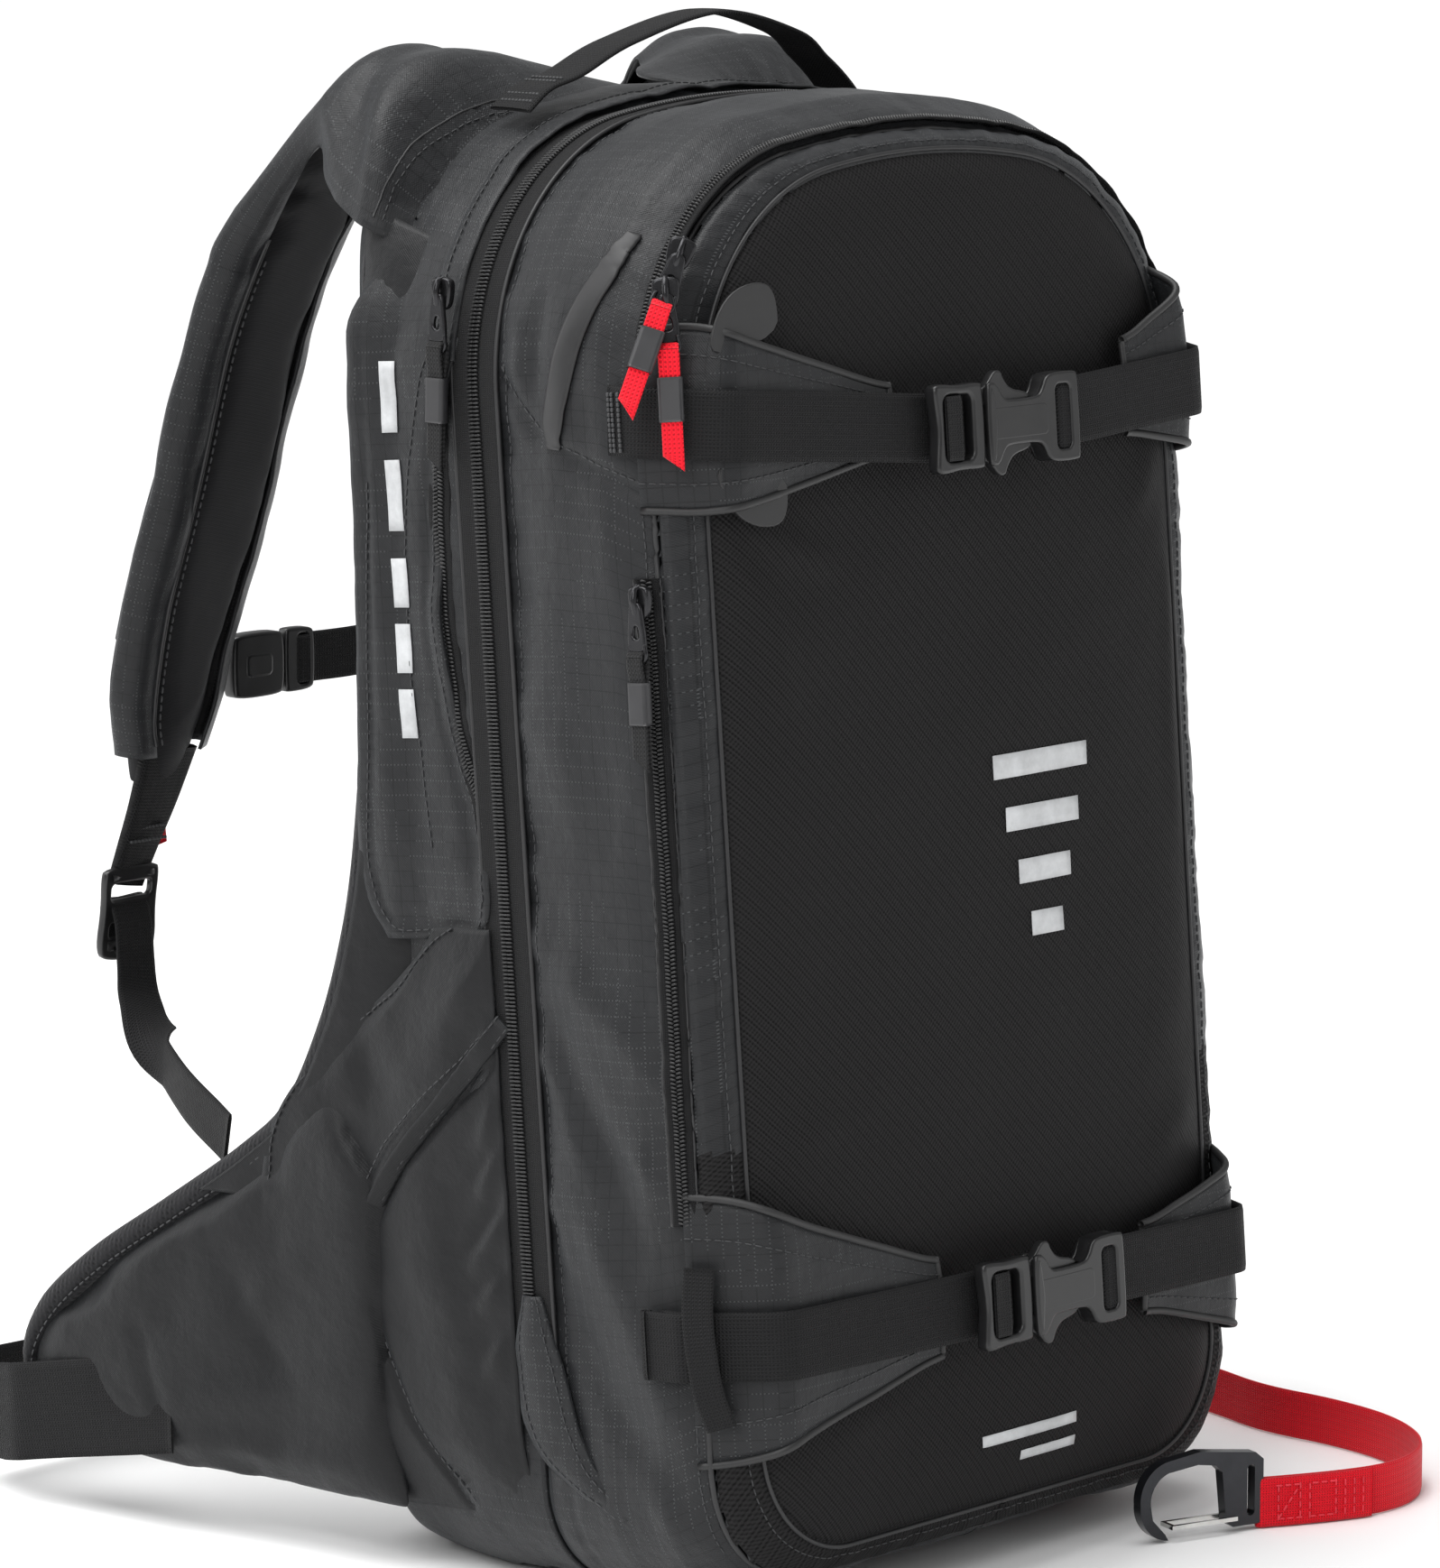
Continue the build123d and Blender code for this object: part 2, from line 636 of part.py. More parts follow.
with BuildPart() as sternum_buckle_male:
    with Locations((-23.2, STERNUM_Y, STERNUM_Z)):
        Box(16.4, 6, 26)
    with Locations((-22, STERNUM_Y, STERNUM_Z)):
        Box(5, 8, 20.5, mode=Mode.SUBTRACT)
    with Locations((-37, STERNUM_Y, STERNUM_Z - 7), (-37, STERNUM_Y, STERNUM_Z + 7)):
        Box(12, 3.4, 4)
sternum_buckle_male.part.label = "sternum_buckle_male"
export_step(sternum_buckle_male.part, "parts/sternum_buckle_male.step")

# Trigger: a sleeve on the left strap's outer face, with the handle that pulls down out of it
SLEEVE_BEHIND = 145  # of the sleeve's top, behind the strap's root
SLEEVE_TOP = 386
strap_fall, strap_slope = -144, 46  # the strap's straight middle run
TRIGGER_RUN = Vector(strap_out * strap_slope, strap_back * strap_slope, strap_fall).normalized()
trigger_plane = Plane(
    origin=(
        STRAP_TOP_X + strap_out * SLEEVE_BEHIND,
        STRAP_TOP_Y + strap_back * SLEEVE_BEHIND,
        SLEEVE_TOP,
    ),
    x_dir=(strap_back, -strap_out, 0),
    z_dir=TRIGGER_RUN,
)
SLEEVE_LENGTH = 68
SLEEVE_SHIFT = -(STRAP_FOAM / 2 + 7.5)

with BuildPart() as trigger_sleeve:
    with BuildSketch(trigger_plane):
        with Locations((0, SLEEVE_SHIFT)):
            Rectangle(36, 14)
            Rectangle(32, 10, mode=Mode.SUBTRACT)
    extrude(amount=SLEEVE_LENGTH)
trigger_sleeve.part.label = "trigger_sleeve"
export_step(trigger_sleeve.part, "parts/trigger_sleeve.step")

with BuildPart() as trigger_handle:
    with BuildSketch(trigger_plane.offset(12)):
        with Locations((0, SLEEVE_SHIFT)):
            RectangleRounded(28, 7, 3)
    extrude(amount=80)
trigger_handle.part.label = "trigger_handle"
export_step(trigger_handle.part, "parts/trigger_handle.step")

# ---------------------------------------------------------------- hip belt

WING_TRACE = ((-150, 34), (-153, 100), (-166, 168), (-172, 230))
WING_OUTLINE = (
    (36, 22),
    (40, 130),
    (72, 228),
    (96, 185),
    (118, 148),
    (190, 98),
    (222, 68),
    (230, 50),
    (222, 36),
    (160, 26),
    (100, 24),
)

with BuildPart() as hip_wing_left:
    band(Plane.XY, WING_TRACE, 40, 240, WING_FOAM)
    with BuildSketch(Plane.YZ.offset(-200)):
        Polygon(*WING_OUTLINE, align=None)
    extrude(amount=100, mode=Mode.INTERSECT)
hip_wing_left.part.label = "hip_wing_left"
export_step(hip_wing_left.part, "parts/hip_wing_left.step")

with BuildPart() as hip_wing_right:
    add(hip_wing_left.part.mirror(Plane.YZ))
hip_wing_right.part.label = "hip_wing_right"
export_step(hip_wing_right.part, "parts/hip_wing_right.step")

BELT_LOW = 12
BELT_Y = 262
BELT_ROUTE = ((-182, 146), (-184, 222), (-176, BELT_Y))

for label, side, end in (("hip_webbing_left", 1, -34.5), ("hip_webbing_right", -1, 45)):
    belt_bends = [(side * x, y) for x, y in BELT_ROUTE]
    with BuildPart() as hip_webbing:
        band(Plane.XY.offset(BELT_LOW), (*belt_bends, (end, BELT_Y)), 14, BELT_WEBBING)
    hip_webbing.part.label = label
    export_step(hip_webbing.part, f"parts/{label}.step")

belt_plane = Plane(
    origin=(0, BELT_Y - 5, BELT_LOW + BELT_WEBBING / 2), x_dir=(-1, 0, 0), z_dir=(0, 1, 0)
)
BELT_BUCKLE_HEIGHT = 50

with BuildPart() as hip_buckle_female:
    female_half(belt_plane, BELT_BUCKLE_HEIGHT, 11)
hip_buckle_female.part.label = "hip_buckle_female"
export_step(hip_buckle_female.part, "parts/hip_buckle_female.step")

with BuildPart() as hip_buckle_male:
    male_half(belt_plane, BELT_BUCKLE_HEIGHT, 11)
hip_buckle_male.part.label = "hip_buckle_male"
export_step(hip_buckle_male.part, "parts/hip_buckle_male.step")

# ---------------------------------------------------------------- haul loop

with BuildPart() as haul_loop:
    with BuildSketch(upright(56)):
        with BuildLine():
            ThreePointArc((-68, 541), (12, 573), (92, 541))
        trace(line_width=2)
    extrude(amount=22)
haul_loop.part.label = "haul_loop"
export_step(haul_loop.part, "parts/haul_loop.step")

# ---------------------------------------------------------------- leg strap and its hook

LEG_WEBBING = 19
LEG_THICKNESS = 2
LEG_ROUTE = (
    (66, 90),
    (78, 110),
    (102, 124),
    (135, 126),
    (169, 117),
    (201, 100),
    (227, 74),
    (241, 41),
    (243, 6),
    (236, -29),
    (226, -61),
    (228, -97),
    (221, -133),
    (200, -163),
    (170, -175),
    (140, -167.5),
    (112, -151),
)


def bend_radii(route):
    """Radius of each bend, as large as its two runs allow."""
    radii = []
    for before, corner, after in zip(route, route[1:], route[2:]):
        arriving = Vector(*corner) - Vector(*before)
        leaving = Vector(*after) - Vector(*corner)
        half_turn = math.radians(arriving.get_angle(leaving)) / 2
        radii.append(0.45 * min(arriving.length, leaving.length) / math.tan(half_turn))
    return radii


leg_radii = bend_radii(LEG_ROUTE)
with BuildPart() as leg_strap:
    with BuildSketch(Plane.XY):
        with BuildLine() as leg_line:
            FilletPolyline(*LEG_ROUTE, radius=leg_radii)
        trace(line_width=LEG_THICKNESS)
    extrude(amount=LEG_WEBBING)
leg_strap.part.label = "leg_strap"
export_step(leg_strap.part, "parts/leg_strap.step")

leg_length = sum(edge.length for edge in leg_line.edges())
print("leg strap bend radii", [round(radius) for radius in leg_radii])
print("leg strap length", round(leg_length), "volume", round(leg_strap.part.volume))
print("section times length", round(LEG_WEBBING * LEG_THICKNESS * leg_length))

HOOK_THICKNESS = 5
HOOK_LIFT = 5
hook_plane = Plane(
    origin=(*LEG_ROUTE[-1], HOOK_LIFT), x_dir=(-0.95, 0.312, 0), z_dir=(0.312, 0.95, 0)
)

with BuildPart() as leg_hook:
    with BuildSketch(hook_plane):
        with BuildLine():
            Polyline((0.4, -2), (0.4, 22), (4, 25), (29, 28.2), (44, 26))
            ThreePointArc((44, 26), (52.5, 20.5), (55.5, 10))
            ThreePointArc((55.5, 10), (53.6, 2), (43, -4.6))
            Polyline((43, -4.6), (44.5, -2), (50, 4), (51, 10))
            ThreePointArc((51, 10), (48.8, 17.5), (43, 21.6))
            Polyline((43, 21.6), (30, 23.2), (22, 22), (19, 19), (17, -1), (14, -3), (3, -3))
            Line((3, -3), (0.4, -2))
        make_face()
        with Locations((6, 10.5)):
            SlotOverall(20, 3.4, rotation=90, mode=Mode.SUBTRACT)
    extrude(amount=HOOK_THICKNESS / 2, both=True)
leg_hook.part.label = "leg_hook"
export_step(leg_hook.part, "parts/leg_hook.step")

GATE_WIRE = 1.6
with BuildPart() as hook_gate:
    for side in (-1, 1):
        with BuildSketch(hook_plane.offset(side * (HOOK_THICKNESS / 2 + 1) - GATE_WIRE / 2)):
            with BuildLine():
                Line((13, 0.5), (41, 0.5))
            trace(line_width=GATE_WIRE)
        extrude(amount=GATE_WIRE)
    with BuildSketch(hook_plane.offset(-HOOK_THICKNESS / 2 - 1 - GATE_WIRE / 2)):
        with Locations((41.5, 0.5)):
            Rectangle(GATE_WIRE, GATE_WIRE)
    extrude(amount=HOOK_THICKNESS + 2 + GATE_WIRE)
hook_gate.part.label = "hook_gate"
export_step(hook_gate.part, "parts/hook_gate.step")
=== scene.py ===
import bpy, json, math
import numpy as np
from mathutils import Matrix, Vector, kdtree, noise


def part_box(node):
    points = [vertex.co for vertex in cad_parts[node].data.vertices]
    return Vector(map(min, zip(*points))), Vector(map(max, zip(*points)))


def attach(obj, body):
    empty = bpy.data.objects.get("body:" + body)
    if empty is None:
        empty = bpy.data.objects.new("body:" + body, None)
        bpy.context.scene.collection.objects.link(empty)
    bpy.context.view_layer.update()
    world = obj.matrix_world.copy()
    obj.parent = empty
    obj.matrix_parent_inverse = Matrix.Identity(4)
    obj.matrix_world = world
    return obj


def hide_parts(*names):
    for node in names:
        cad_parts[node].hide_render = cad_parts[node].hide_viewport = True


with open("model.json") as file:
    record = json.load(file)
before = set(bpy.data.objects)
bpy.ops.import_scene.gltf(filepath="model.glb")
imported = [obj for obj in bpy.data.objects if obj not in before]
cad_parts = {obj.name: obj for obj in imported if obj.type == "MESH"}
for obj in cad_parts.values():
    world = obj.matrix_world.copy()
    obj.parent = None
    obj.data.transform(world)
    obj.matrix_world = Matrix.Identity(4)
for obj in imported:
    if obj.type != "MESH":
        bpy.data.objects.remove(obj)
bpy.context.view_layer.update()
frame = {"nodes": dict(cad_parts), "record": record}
nodes = frame["nodes"]

# Lengths below are in millimetres until a mesh is made.
MM = 0.001
SIN, COS = math.sin(math.radians(4.6)), math.cos(math.radians(4.6))


# ---------------------------------------------------------------- geometry helpers

def lean(x, w, v):
    """Lean coordinates (across, depth square to the split zip, height along it) to metres."""
    x, w, v = np.broadcast_arrays(*(np.asarray(a, float) for a in (x, w, v)))
    return np.stack([x, w * COS + v * SIN, -w * SIN + v * COS], -1) * MM


def unlean(p):
    """Metres to lean coordinates in millimetres."""
    p = np.asarray(p, float) / MM
    return np.stack([p[..., 0], p[..., 1] * COS - p[..., 2] * SIN, p[..., 1] * SIN + p[..., 2] * COS], -1)


def noise_at(points, scale, seed=0.0, octaves=2):
    """Smooth noise, about -1 to 1, at points in metres; scale is a length in millimetres."""
    q = np.asarray(points, float).reshape(-1, 3) / (scale * MM)
    out = np.array([sum(noise.noise(Vector((a + seed, b - seed, c + 3 * seed)) * 2 ** k) / 2 ** k
        for k in range(octaves)) for a, b, c in q])
    return out.reshape(np.shape(points)[:-1])


def unit(a):
    return a / np.maximum(np.linalg.norm(a, axis=-1, keepdims=True), 1e-12)


def smooth(a, lo, hi):
    t = np.clip((np.asarray(a, float) - lo) / (hi - lo), 0, 1)
    return t * t * (3 - 2 * t)


def distance_to(points, line):
    """Distance of 2-D points to a polyline, and how far along it the nearest point is, 0 to 1."""
    line = np.asarray(line, float)
    best = np.full(points.shape[:-1], 1e9)
    along = np.zeros(points.shape[:-1])
    lengths = np.linalg.norm(np.diff(line, axis=0), axis=1)
    start, total = 0.0, lengths.sum()
    for a, b, size in zip(line, line[1:], lengths):
        t = np.clip(((points - a) @ (b - a)) / max(size * size, 1e-9), 0, 1)
        d = np.linalg.norm(points - (a + t[..., None] * (b - a)), axis=-1)
        near = d < best
        best = np.where(near, d, best)
        along = np.where(near, (start + t * size) / total, along)
        start += size
    return best, along


def spline(points, step):
    """Points every step along a smooth curve through the given ones."""
    p = np.asarray(points, float)
    p = np.vstack([2 * p[0] - p[1], p, 2 * p[-1] - p[-2]])
    out = []
    for a, b, c, d in zip(p, p[1:], p[2:], p[3:]):
        n = max(2, int(np.linalg.norm(c - b) / step * 2))
        t = np.linspace(0, 1, n, endpoint=False)[:, None]
        out.append(0.5 * (2 * b + (c - a) * t + (2 * a - 5 * b + 4 * c - d) * t ** 2
            + (3 * b - a - 3 * c + d) * t ** 3))
    out = np.vstack([*out, p[-2][None]])
    gaps = np.r_[0, np.cumsum(np.linalg.norm(np.diff(out, axis=0), axis=1))]
    even = np.linspace(0, gaps[-1], max(2, int(round(gaps[-1] / step)) + 1))
    return np.stack([np.interp(even, gaps, out[:, k]) for k in range(out.shape[1])], -1)


def rounded(route, radius, step=3.0):
    """2-D route with its corners rounded, sampled about every step."""
    route = [np.asarray(p, float) for p in route]
    out = [route[0]]
    for a, b, c in zip(route, route[1:], route[2:]):
        u, w = unit(a - b), unit(c - b)
        half = math.acos(max(-1, min(1, float(-u @ w)))) / 2
        cut = min(radius * math.tan(half), 0.49 * np.linalg.norm(a - b), 0.49 * np.linalg.norm(c - b))
        p, q = b + u * cut, b + w * cut
        for t in np.linspace(0, 1, 9):
            out.append((1 - t) ** 2 * p + 2 * t * (1 - t)
                * (0.45 * b + 0.55 * (p + q) / 2 + (b - (p + q) / 2) * 0.35) + t ** 2 * q)
    out.append(route[-1])
    out = np.array(out)
    gaps = np.r_[0, np.cumsum(np.linalg.norm(np.diff(out, axis=0), axis=1))]
    even = np.linspace(0, gaps[-1], max(2, int(gaps[-1] / step) + 1))
    return np.stack([np.interp(even, gaps, out[:, k]) for k in range(out.shape[1])], -1)


def make(name, points, faces, uv=None, material=None, body=None, smooth_faces=True):
    """Mesh object from points in metres; uv is one pair per point, in metres."""
    mesh = bpy.data.meshes.new(name)
    mesh.from_pydata([tuple(p) for p in np.asarray(points, float).reshape(-1, 3)], [],
        [tuple(int(i) for i in f) for f in faces])
    if uv is not None:
        layer = mesh.uv_layers.new(name="UVMap")
        index = np.zeros(len(mesh.loops), int)
        mesh.loops.foreach_get("vertex_index", index)
        layer.data.foreach_set("uv", np.asarray(uv, float).reshape(-1, 2)[index].astype(np.float32).ravel())
    if smooth_faces:
        mesh.polygons.foreach_set("use_smooth", [True] * len(mesh.polygons))
    obj = bpy.data.objects.new(name, mesh)
    bpy.context.scene.collection.objects.link(obj)
    if material:
        mesh.materials.append(materials[material])
    if body:
        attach(obj, body)
    return obj


def grid_faces(n, m, close_m=False, offset=0, flip=False):
    i, j = np.meshgrid(np.arange(n - 1), np.arange(m if close_m else m - 1), indexing="ij")
    k = (j + 1) % m
    quads = np.stack([i * m + j, i * m + k, (i + 1) * m + k, (i + 1) * m + j], -1).reshape(-1, 4) + offset
    return quads[:, ::-1] if flip else quads


def normals_of(grid, close_m=False):
    """Unit normals of a grid of points."""
    if close_m:
        dm = np.roll(grid, -1, 1) - np.roll(grid, 1, 1)
    else:
        dm = np.gradient(grid, axis=1)
    return unit(np.cross(np.gradient(grid, axis=0), dm))


def shell(name, grid, uv, thickness, material, body, flip=False, levels=0):
    """Sheet of cloth of a thickness, from a grid of points of its outer face."""
    normal = normals_of(grid) * (-1 if flip else 1)
    n, m = grid.shape[:2]
    inner = grid - normal * thickness * MM
    points = np.concatenate([grid.reshape(-1, 3), inner.reshape(-1, 3)])
    faces = [grid_faces(n, m, flip=flip), grid_faces(n, m, offset=n * m, flip=not flip)]
    rim = np.r_[np.arange(m), np.arange(1, n) * m + m - 1, (n - 1) * m + np.arange(m - 2, -1, -1),
        np.arange(n - 2, 0, -1) * m]
    nxt = np.roll(rim, -1)
    edge = np.stack([rim, rim + n * m, nxt + n * m, nxt], -1)
    faces.append(edge[:, ::-1] if flip else edge)
    obj = make(name, points, np.concatenate(faces), np.concatenate([uv.reshape(-1, 2)] * 2), material, body)
    if levels:
        obj.modifiers.new("smooth", "SUBSURF").levels = levels
        obj.modifiers["smooth"].render_levels = levels
    return obj


def ribbon(name, path, across, width, thick, material, body, crown=0.0, edge=0.5, ends=True):
    """Flat band along a path (metres); across is the direction of its width."""
    path = np.asarray(path, float)
    n = len(path)
    across = unit(np.broadcast_to(np.asarray(across, float), path.shape))
    tangent = unit(np.gradient(path, axis=0))
    across = unit(across - tangent * (across * tangent).sum(-1, keepdims=True))
    normal = np.cross(tangent, across)
    width = np.broadcast_to(np.asarray(width, float), (n,))
    half = thick / 2
    side = np.linspace(-1, 1, 13)
    bulge = crown * (1 - side ** 2)
    rim = np.where(np.abs(side) > 0.93, edge, 1.0)
    top = np.stack([side, half * rim + bulge], -1)
    low = np.stack([side[::-1], -half * rim[::-1] + bulge[::-1]], -1)
    section = np.concatenate([top, low])
    points = path[:, None] + (across[:, None] * section[None, :, :1] * (width[:, None, None] / 2)
        + normal[:, None] * section[None, :, 1:]) * MM
    gaps = np.r_[0, np.cumsum(np.linalg.norm(np.diff(path, axis=0), axis=1))]
    uv = np.stack(np.broadcast_arrays(gaps[:, None], section[None, :, 0] * width[:, None] / 2 * MM), -1)
    m = len(section)
    faces = [tuple(f) for f in grid_faces(n, m, close_m=True)]
    if ends:
        faces += [tuple(range(m)), tuple(range((n - 1) * m + m - 1, (n - 1) * m - 1, -1))]
    return make(name, points, faces, uv, material, body)


def rod(name, path, radius, material, body, sides=10, flat=1.0, up=(0, 0, 1)):
    """Round or oval piping along a path in metres; radius in millimetres, one or one per point."""
    path = np.asarray(path, float)
    n = len(path)
    tangent = unit(np.gradient(path, axis=0))
    a = unit(np.cross(tangent, np.broadcast_to(np.asarray(up, float), path.shape)) + 1e-9)
    b = np.cross(a, tangent)
    radius = np.broadcast_to(np.asarray(radius, float), (n,))[:, None, None] * MM
    turn = np.linspace(0, 2 * math.pi, sides, endpoint=False)[None, :, None]
    points = path[:, None] + radius * (a[:, None] * np.cos(turn) + b[:, None] * np.sin(turn) * flat)
    gaps = np.r_[0, np.cumsum(np.linalg.norm(np.diff(path, axis=0), axis=1))]
    uv = np.stack(np.broadcast_arrays(gaps[:, None], np.arange(sides)[None] * 0.001), -1)
    faces = [tuple(f) for f in grid_faces(n, sides, close_m=True)]
    faces += [tuple(range(sides)), tuple(range((n - 1) * sides + sides - 1, (n - 1) * sides - 1, -1))]
    return make(name, points, faces, uv, material, body)


def scatter(name, places, along, up, size, material, body, taper=0.75):
    """Many small rounded blocks, such as stitches or zip teeth, in one mesh."""
    places, along, up = (np.asarray(a, float) for a in (places, along, up))
    if len(places) == 0:
        return None
    along = unit(np.broadcast_to(along, places.shape))
    up = unit(np.broadcast_to(up, places.shape))
    side = np.cross(up, along)
    length, width, height = (s * MM / 2 for s in size)
    corners = []
    for z, k in ((-1, 1.0), (0.35, 1.0), (1, taper)):
        for x, y in ((-1, -0.6), (-0.6, -1), (0.6, -1), (1, -0.6), (1, 0.6), (0.6, 1), (-0.6, 1), (-1, 0.6)):
            corners.append((x * k * length, y * k * width, z * height))
    c = np.array(corners)
    points = places[:, None] + along[:, None] * c[None, :, :1] + side[:, None] * c[None, :, 1:2] + up[:,
        None] * c[None, :, 2:]
    one = [(i + 8 * r, (i + 1) % 8 + 8 * r, (i + 1) % 8 + 8 * r + 8, i + 8 * r + 8) for r in (0, 1)
        for i in range(8)]
    faces = []
    for k in range(len(places)):
        faces += [tuple(i + 24 * k for i in f) for f in one]
        faces.append(tuple(24 * k + i for i in range(16, 24)))
        faces.append(tuple(24 * k + i for i in range(7, -1, -1)))
    return make(name, points, faces, None, material, body)


def stitches(name, path, normal, body, material="thread", length=2.6, gap=1.1, height=0.7, width=0.7,
        dip=0.15):
    """Row of lock stitches along a path in metres on a surface with that normal."""
    path = np.asarray(path, float)
    gaps = np.r_[0, np.cumsum(np.linalg.norm(np.diff(path, axis=0), axis=1))]
    even = np.arange(length / 2 * MM, gaps[-1], (length + gap) * MM)
    at = np.stack([np.interp(even, gaps, path[:, k]) for k in range(3)], -1)
    tangent = unit(np.gradient(path, axis=0))
    run = np.stack([np.interp(even, gaps, tangent[:, k]) for k in range(3)], -1)
    normal = unit(np.broadcast_to(np.asarray(normal, float), path.shape))
    up = np.stack([np.interp(even, gaps, normal[:, k]) for k in range(3)], -1)
    return scatter(name, at + unit(up) * (height / 2 - dip) * MM, run, up, (length, width, height), material,
        body)


def plate(name, outline, holes, thickness, bevel, origin, x_axis, y_axis, material, body, resolution=3):
    """Moulded plate with rounded edges: its outline and holes in millimetres on a plane."""
    curve = bpy.data.curves.new(name, "CURVE")
    curve.dimensions = "2D"
    curve.fill_mode = "BOTH"
    curve.extrude = (thickness / 2 - bevel) * MM
    curve.bevel_depth = bevel * MM
    curve.bevel_resolution = resolution
    curve.offset = -bevel * MM
    for ring in (outline, *holes):
        piece = curve.splines.new("POLY")
        piece.points.add(len(ring) - 1)
        piece.use_cyclic_u = True
        for q, (x, y) in zip(piece.points, ring):
            q.co = (x * MM, y * MM, 0, 1)
    temp = bpy.data.objects.new(name + "_curve", curve)
    bpy.context.scene.collection.objects.link(temp)
    bpy.context.view_layer.update()
    mesh = bpy.data.meshes.new_from_object(temp.evaluated_get(bpy.context.evaluated_depsgraph_get()))
    bpy.data.objects.remove(temp)
    mesh.name = name
    x_axis, y_axis = unit(np.asarray(x_axis, float)), unit(np.asarray(y_axis, float))
    z_axis = np.cross(x_axis, y_axis)
    co = np.zeros(len(mesh.vertices) * 3)
    mesh.vertices.foreach_get("co", co)
    co = co.reshape(-1, 3)
    co = np.asarray(origin, float) + co[:, :1] * x_axis + co[:, 1:2] * y_axis + co[:, 2:] * z_axis
    mesh.vertices.foreach_set("co", co.ravel())
    mesh.update()
    mesh.polygons.foreach_set("use_smooth", [True] * len(mesh.polygons))
    mesh.set_sharp_from_angle(angle=math.radians(50))
    obj = bpy.data.objects.new(name, mesh)
    bpy.context.scene.collection.objects.link(obj)
    mesh.materials.clear()
    mesh.materials.append(materials[material])
    if body:
        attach(obj, body)
    return obj


def round_rect(x0, y0, x1, y1, r, n=5):
    out = []
    for cx, cy, a in ((x1 - r, y1 - r, 0), (x0 + r, y1 - r, 90), (x0 + r, y0 + r, 180),
            (x1 - r, y0 + r, 270)):
        for k in range(n + 1):
            t = math.radians(a + 90 * k / n)
            out.append((cx + r * math.cos(t), cy + r * math.sin(t)))
    return out


def soften(points, rounds=2):
    """Closed outline with its corners cut round."""
    p = np.asarray(points, float)
    for _ in range(rounds):
        q = np.roll(p, -1, 0)
        p = np.stack([0.75 * p + 0.25 * q, 0.25 * p + 0.75 * q], 1).reshape(-1, 2)
    return [tuple(a) for a in p]


# ---------------------------------------------------------------- materials


def rgba(value):
    """A colour with its alpha; any other value as it is."""
    return (*value, 1) if isinstance(value, tuple) and len(value) == 3 else value


class Net:
    """Small helper for node trees."""

    def __init__(self, name):
        self.material = bpy.data.materials.new(name)
        self.material.use_nodes = True
        self.tree = self.material.node_tree
        self.shader = self.tree.nodes["Principled BSDF"]

    def node(self, kind, inputs=None, **settings):
        made = self.tree.nodes.new("ShaderNode" + kind)
        for key, value in settings.items():
            setattr(made, key, value)
        for key, value in (inputs or {}).items():
            if isinstance(value, bpy.types.NodeSocket):
                self.tree.links.new(value, made.inputs[key])
            else:
                made.inputs[key].default_value = value
        return made

    def math(self, operation, a, b=0.0, clamp=False):
        return self.node("Math", {0: a, 1: b}, operation=operation, use_clamp=clamp).outputs[0]

    def place(self, kind="uv"):
        coordinates = self.node("TexCoord")
        return coordinates.outputs["UV" if kind == "uv" else "Object"]

    def noise(self, where, scale, detail=3.0, roughness=0.55):
        return self.node("TexNoise", {"Vector": where, "Scale": scale, "Detail": detail,
            "Roughness": roughness}).outputs["Fac"]

    def ramp(self, value, stops):
        made = self.node("ValToRGB", {"Fac": value})
        ramp = made.color_ramp
        while len(ramp.elements) < len(stops):
            ramp.elements.new(0.5)
        for element, (at, colour) in zip(ramp.elements, stops):
            element.position = at
            element.color = (*colour, 1) if len(colour) == 3 else colour
        return made.outputs["Color"]

    def mix(self, fac, a, b):
        made = self.node("Mix", data_type="RGBA")
        for key, value in ((0, fac), (6, a), (7, b)):
            if isinstance(value, bpy.types.NodeSocket):
                self.tree.links.new(value, made.inputs[key])
            else:
                made.inputs[key].default_value = rgba(value)
        return made.outputs[2]

    def bump(self, height, strength, distance, before=None):
        inputs = {"Height": height, "Strength": strength, "Distance": distance}
        if before is not None:
            inputs["Normal"] = before
        return self.node("Bump", inputs).outputs["Normal"]

    def set(self, **values):
        for key, value in values.items():
            socket = self.shader.inputs[key.replace("_", " ")]
            if isinstance(value, bpy.types.NodeSocket):
                self.tree.links.new(value, socket)
            else:
                socket.default_value = rgba(value)
        return self.material


def stripes(net, axis_value, pitch, phase=0.0):
    """Smooth 0 to 1 wave along one coordinate, in metres."""
    turned = net.math("MULTIPLY", axis_value, 2 * math.pi / (pitch * MM))
    wave = net.math("SINE", net.math("ADD", turned, phase))
    return net.math("ADD", net.math("MULTIPLY", wave, 0.5), 0.5)


def weave(net, u, v, pitch):
    """Plain weave height field."""
    a = stripes(net, u, pitch * 2)
    b = stripes(net, v, pitch * 2)
    over = net.math("MULTIPLY", a, b)
    under = net.math("MULTIPLY", net.math("SUBTRACT", 1.0, a), net.math("SUBTRACT", 1.0, b))
    return net.math("ADD", over, under)


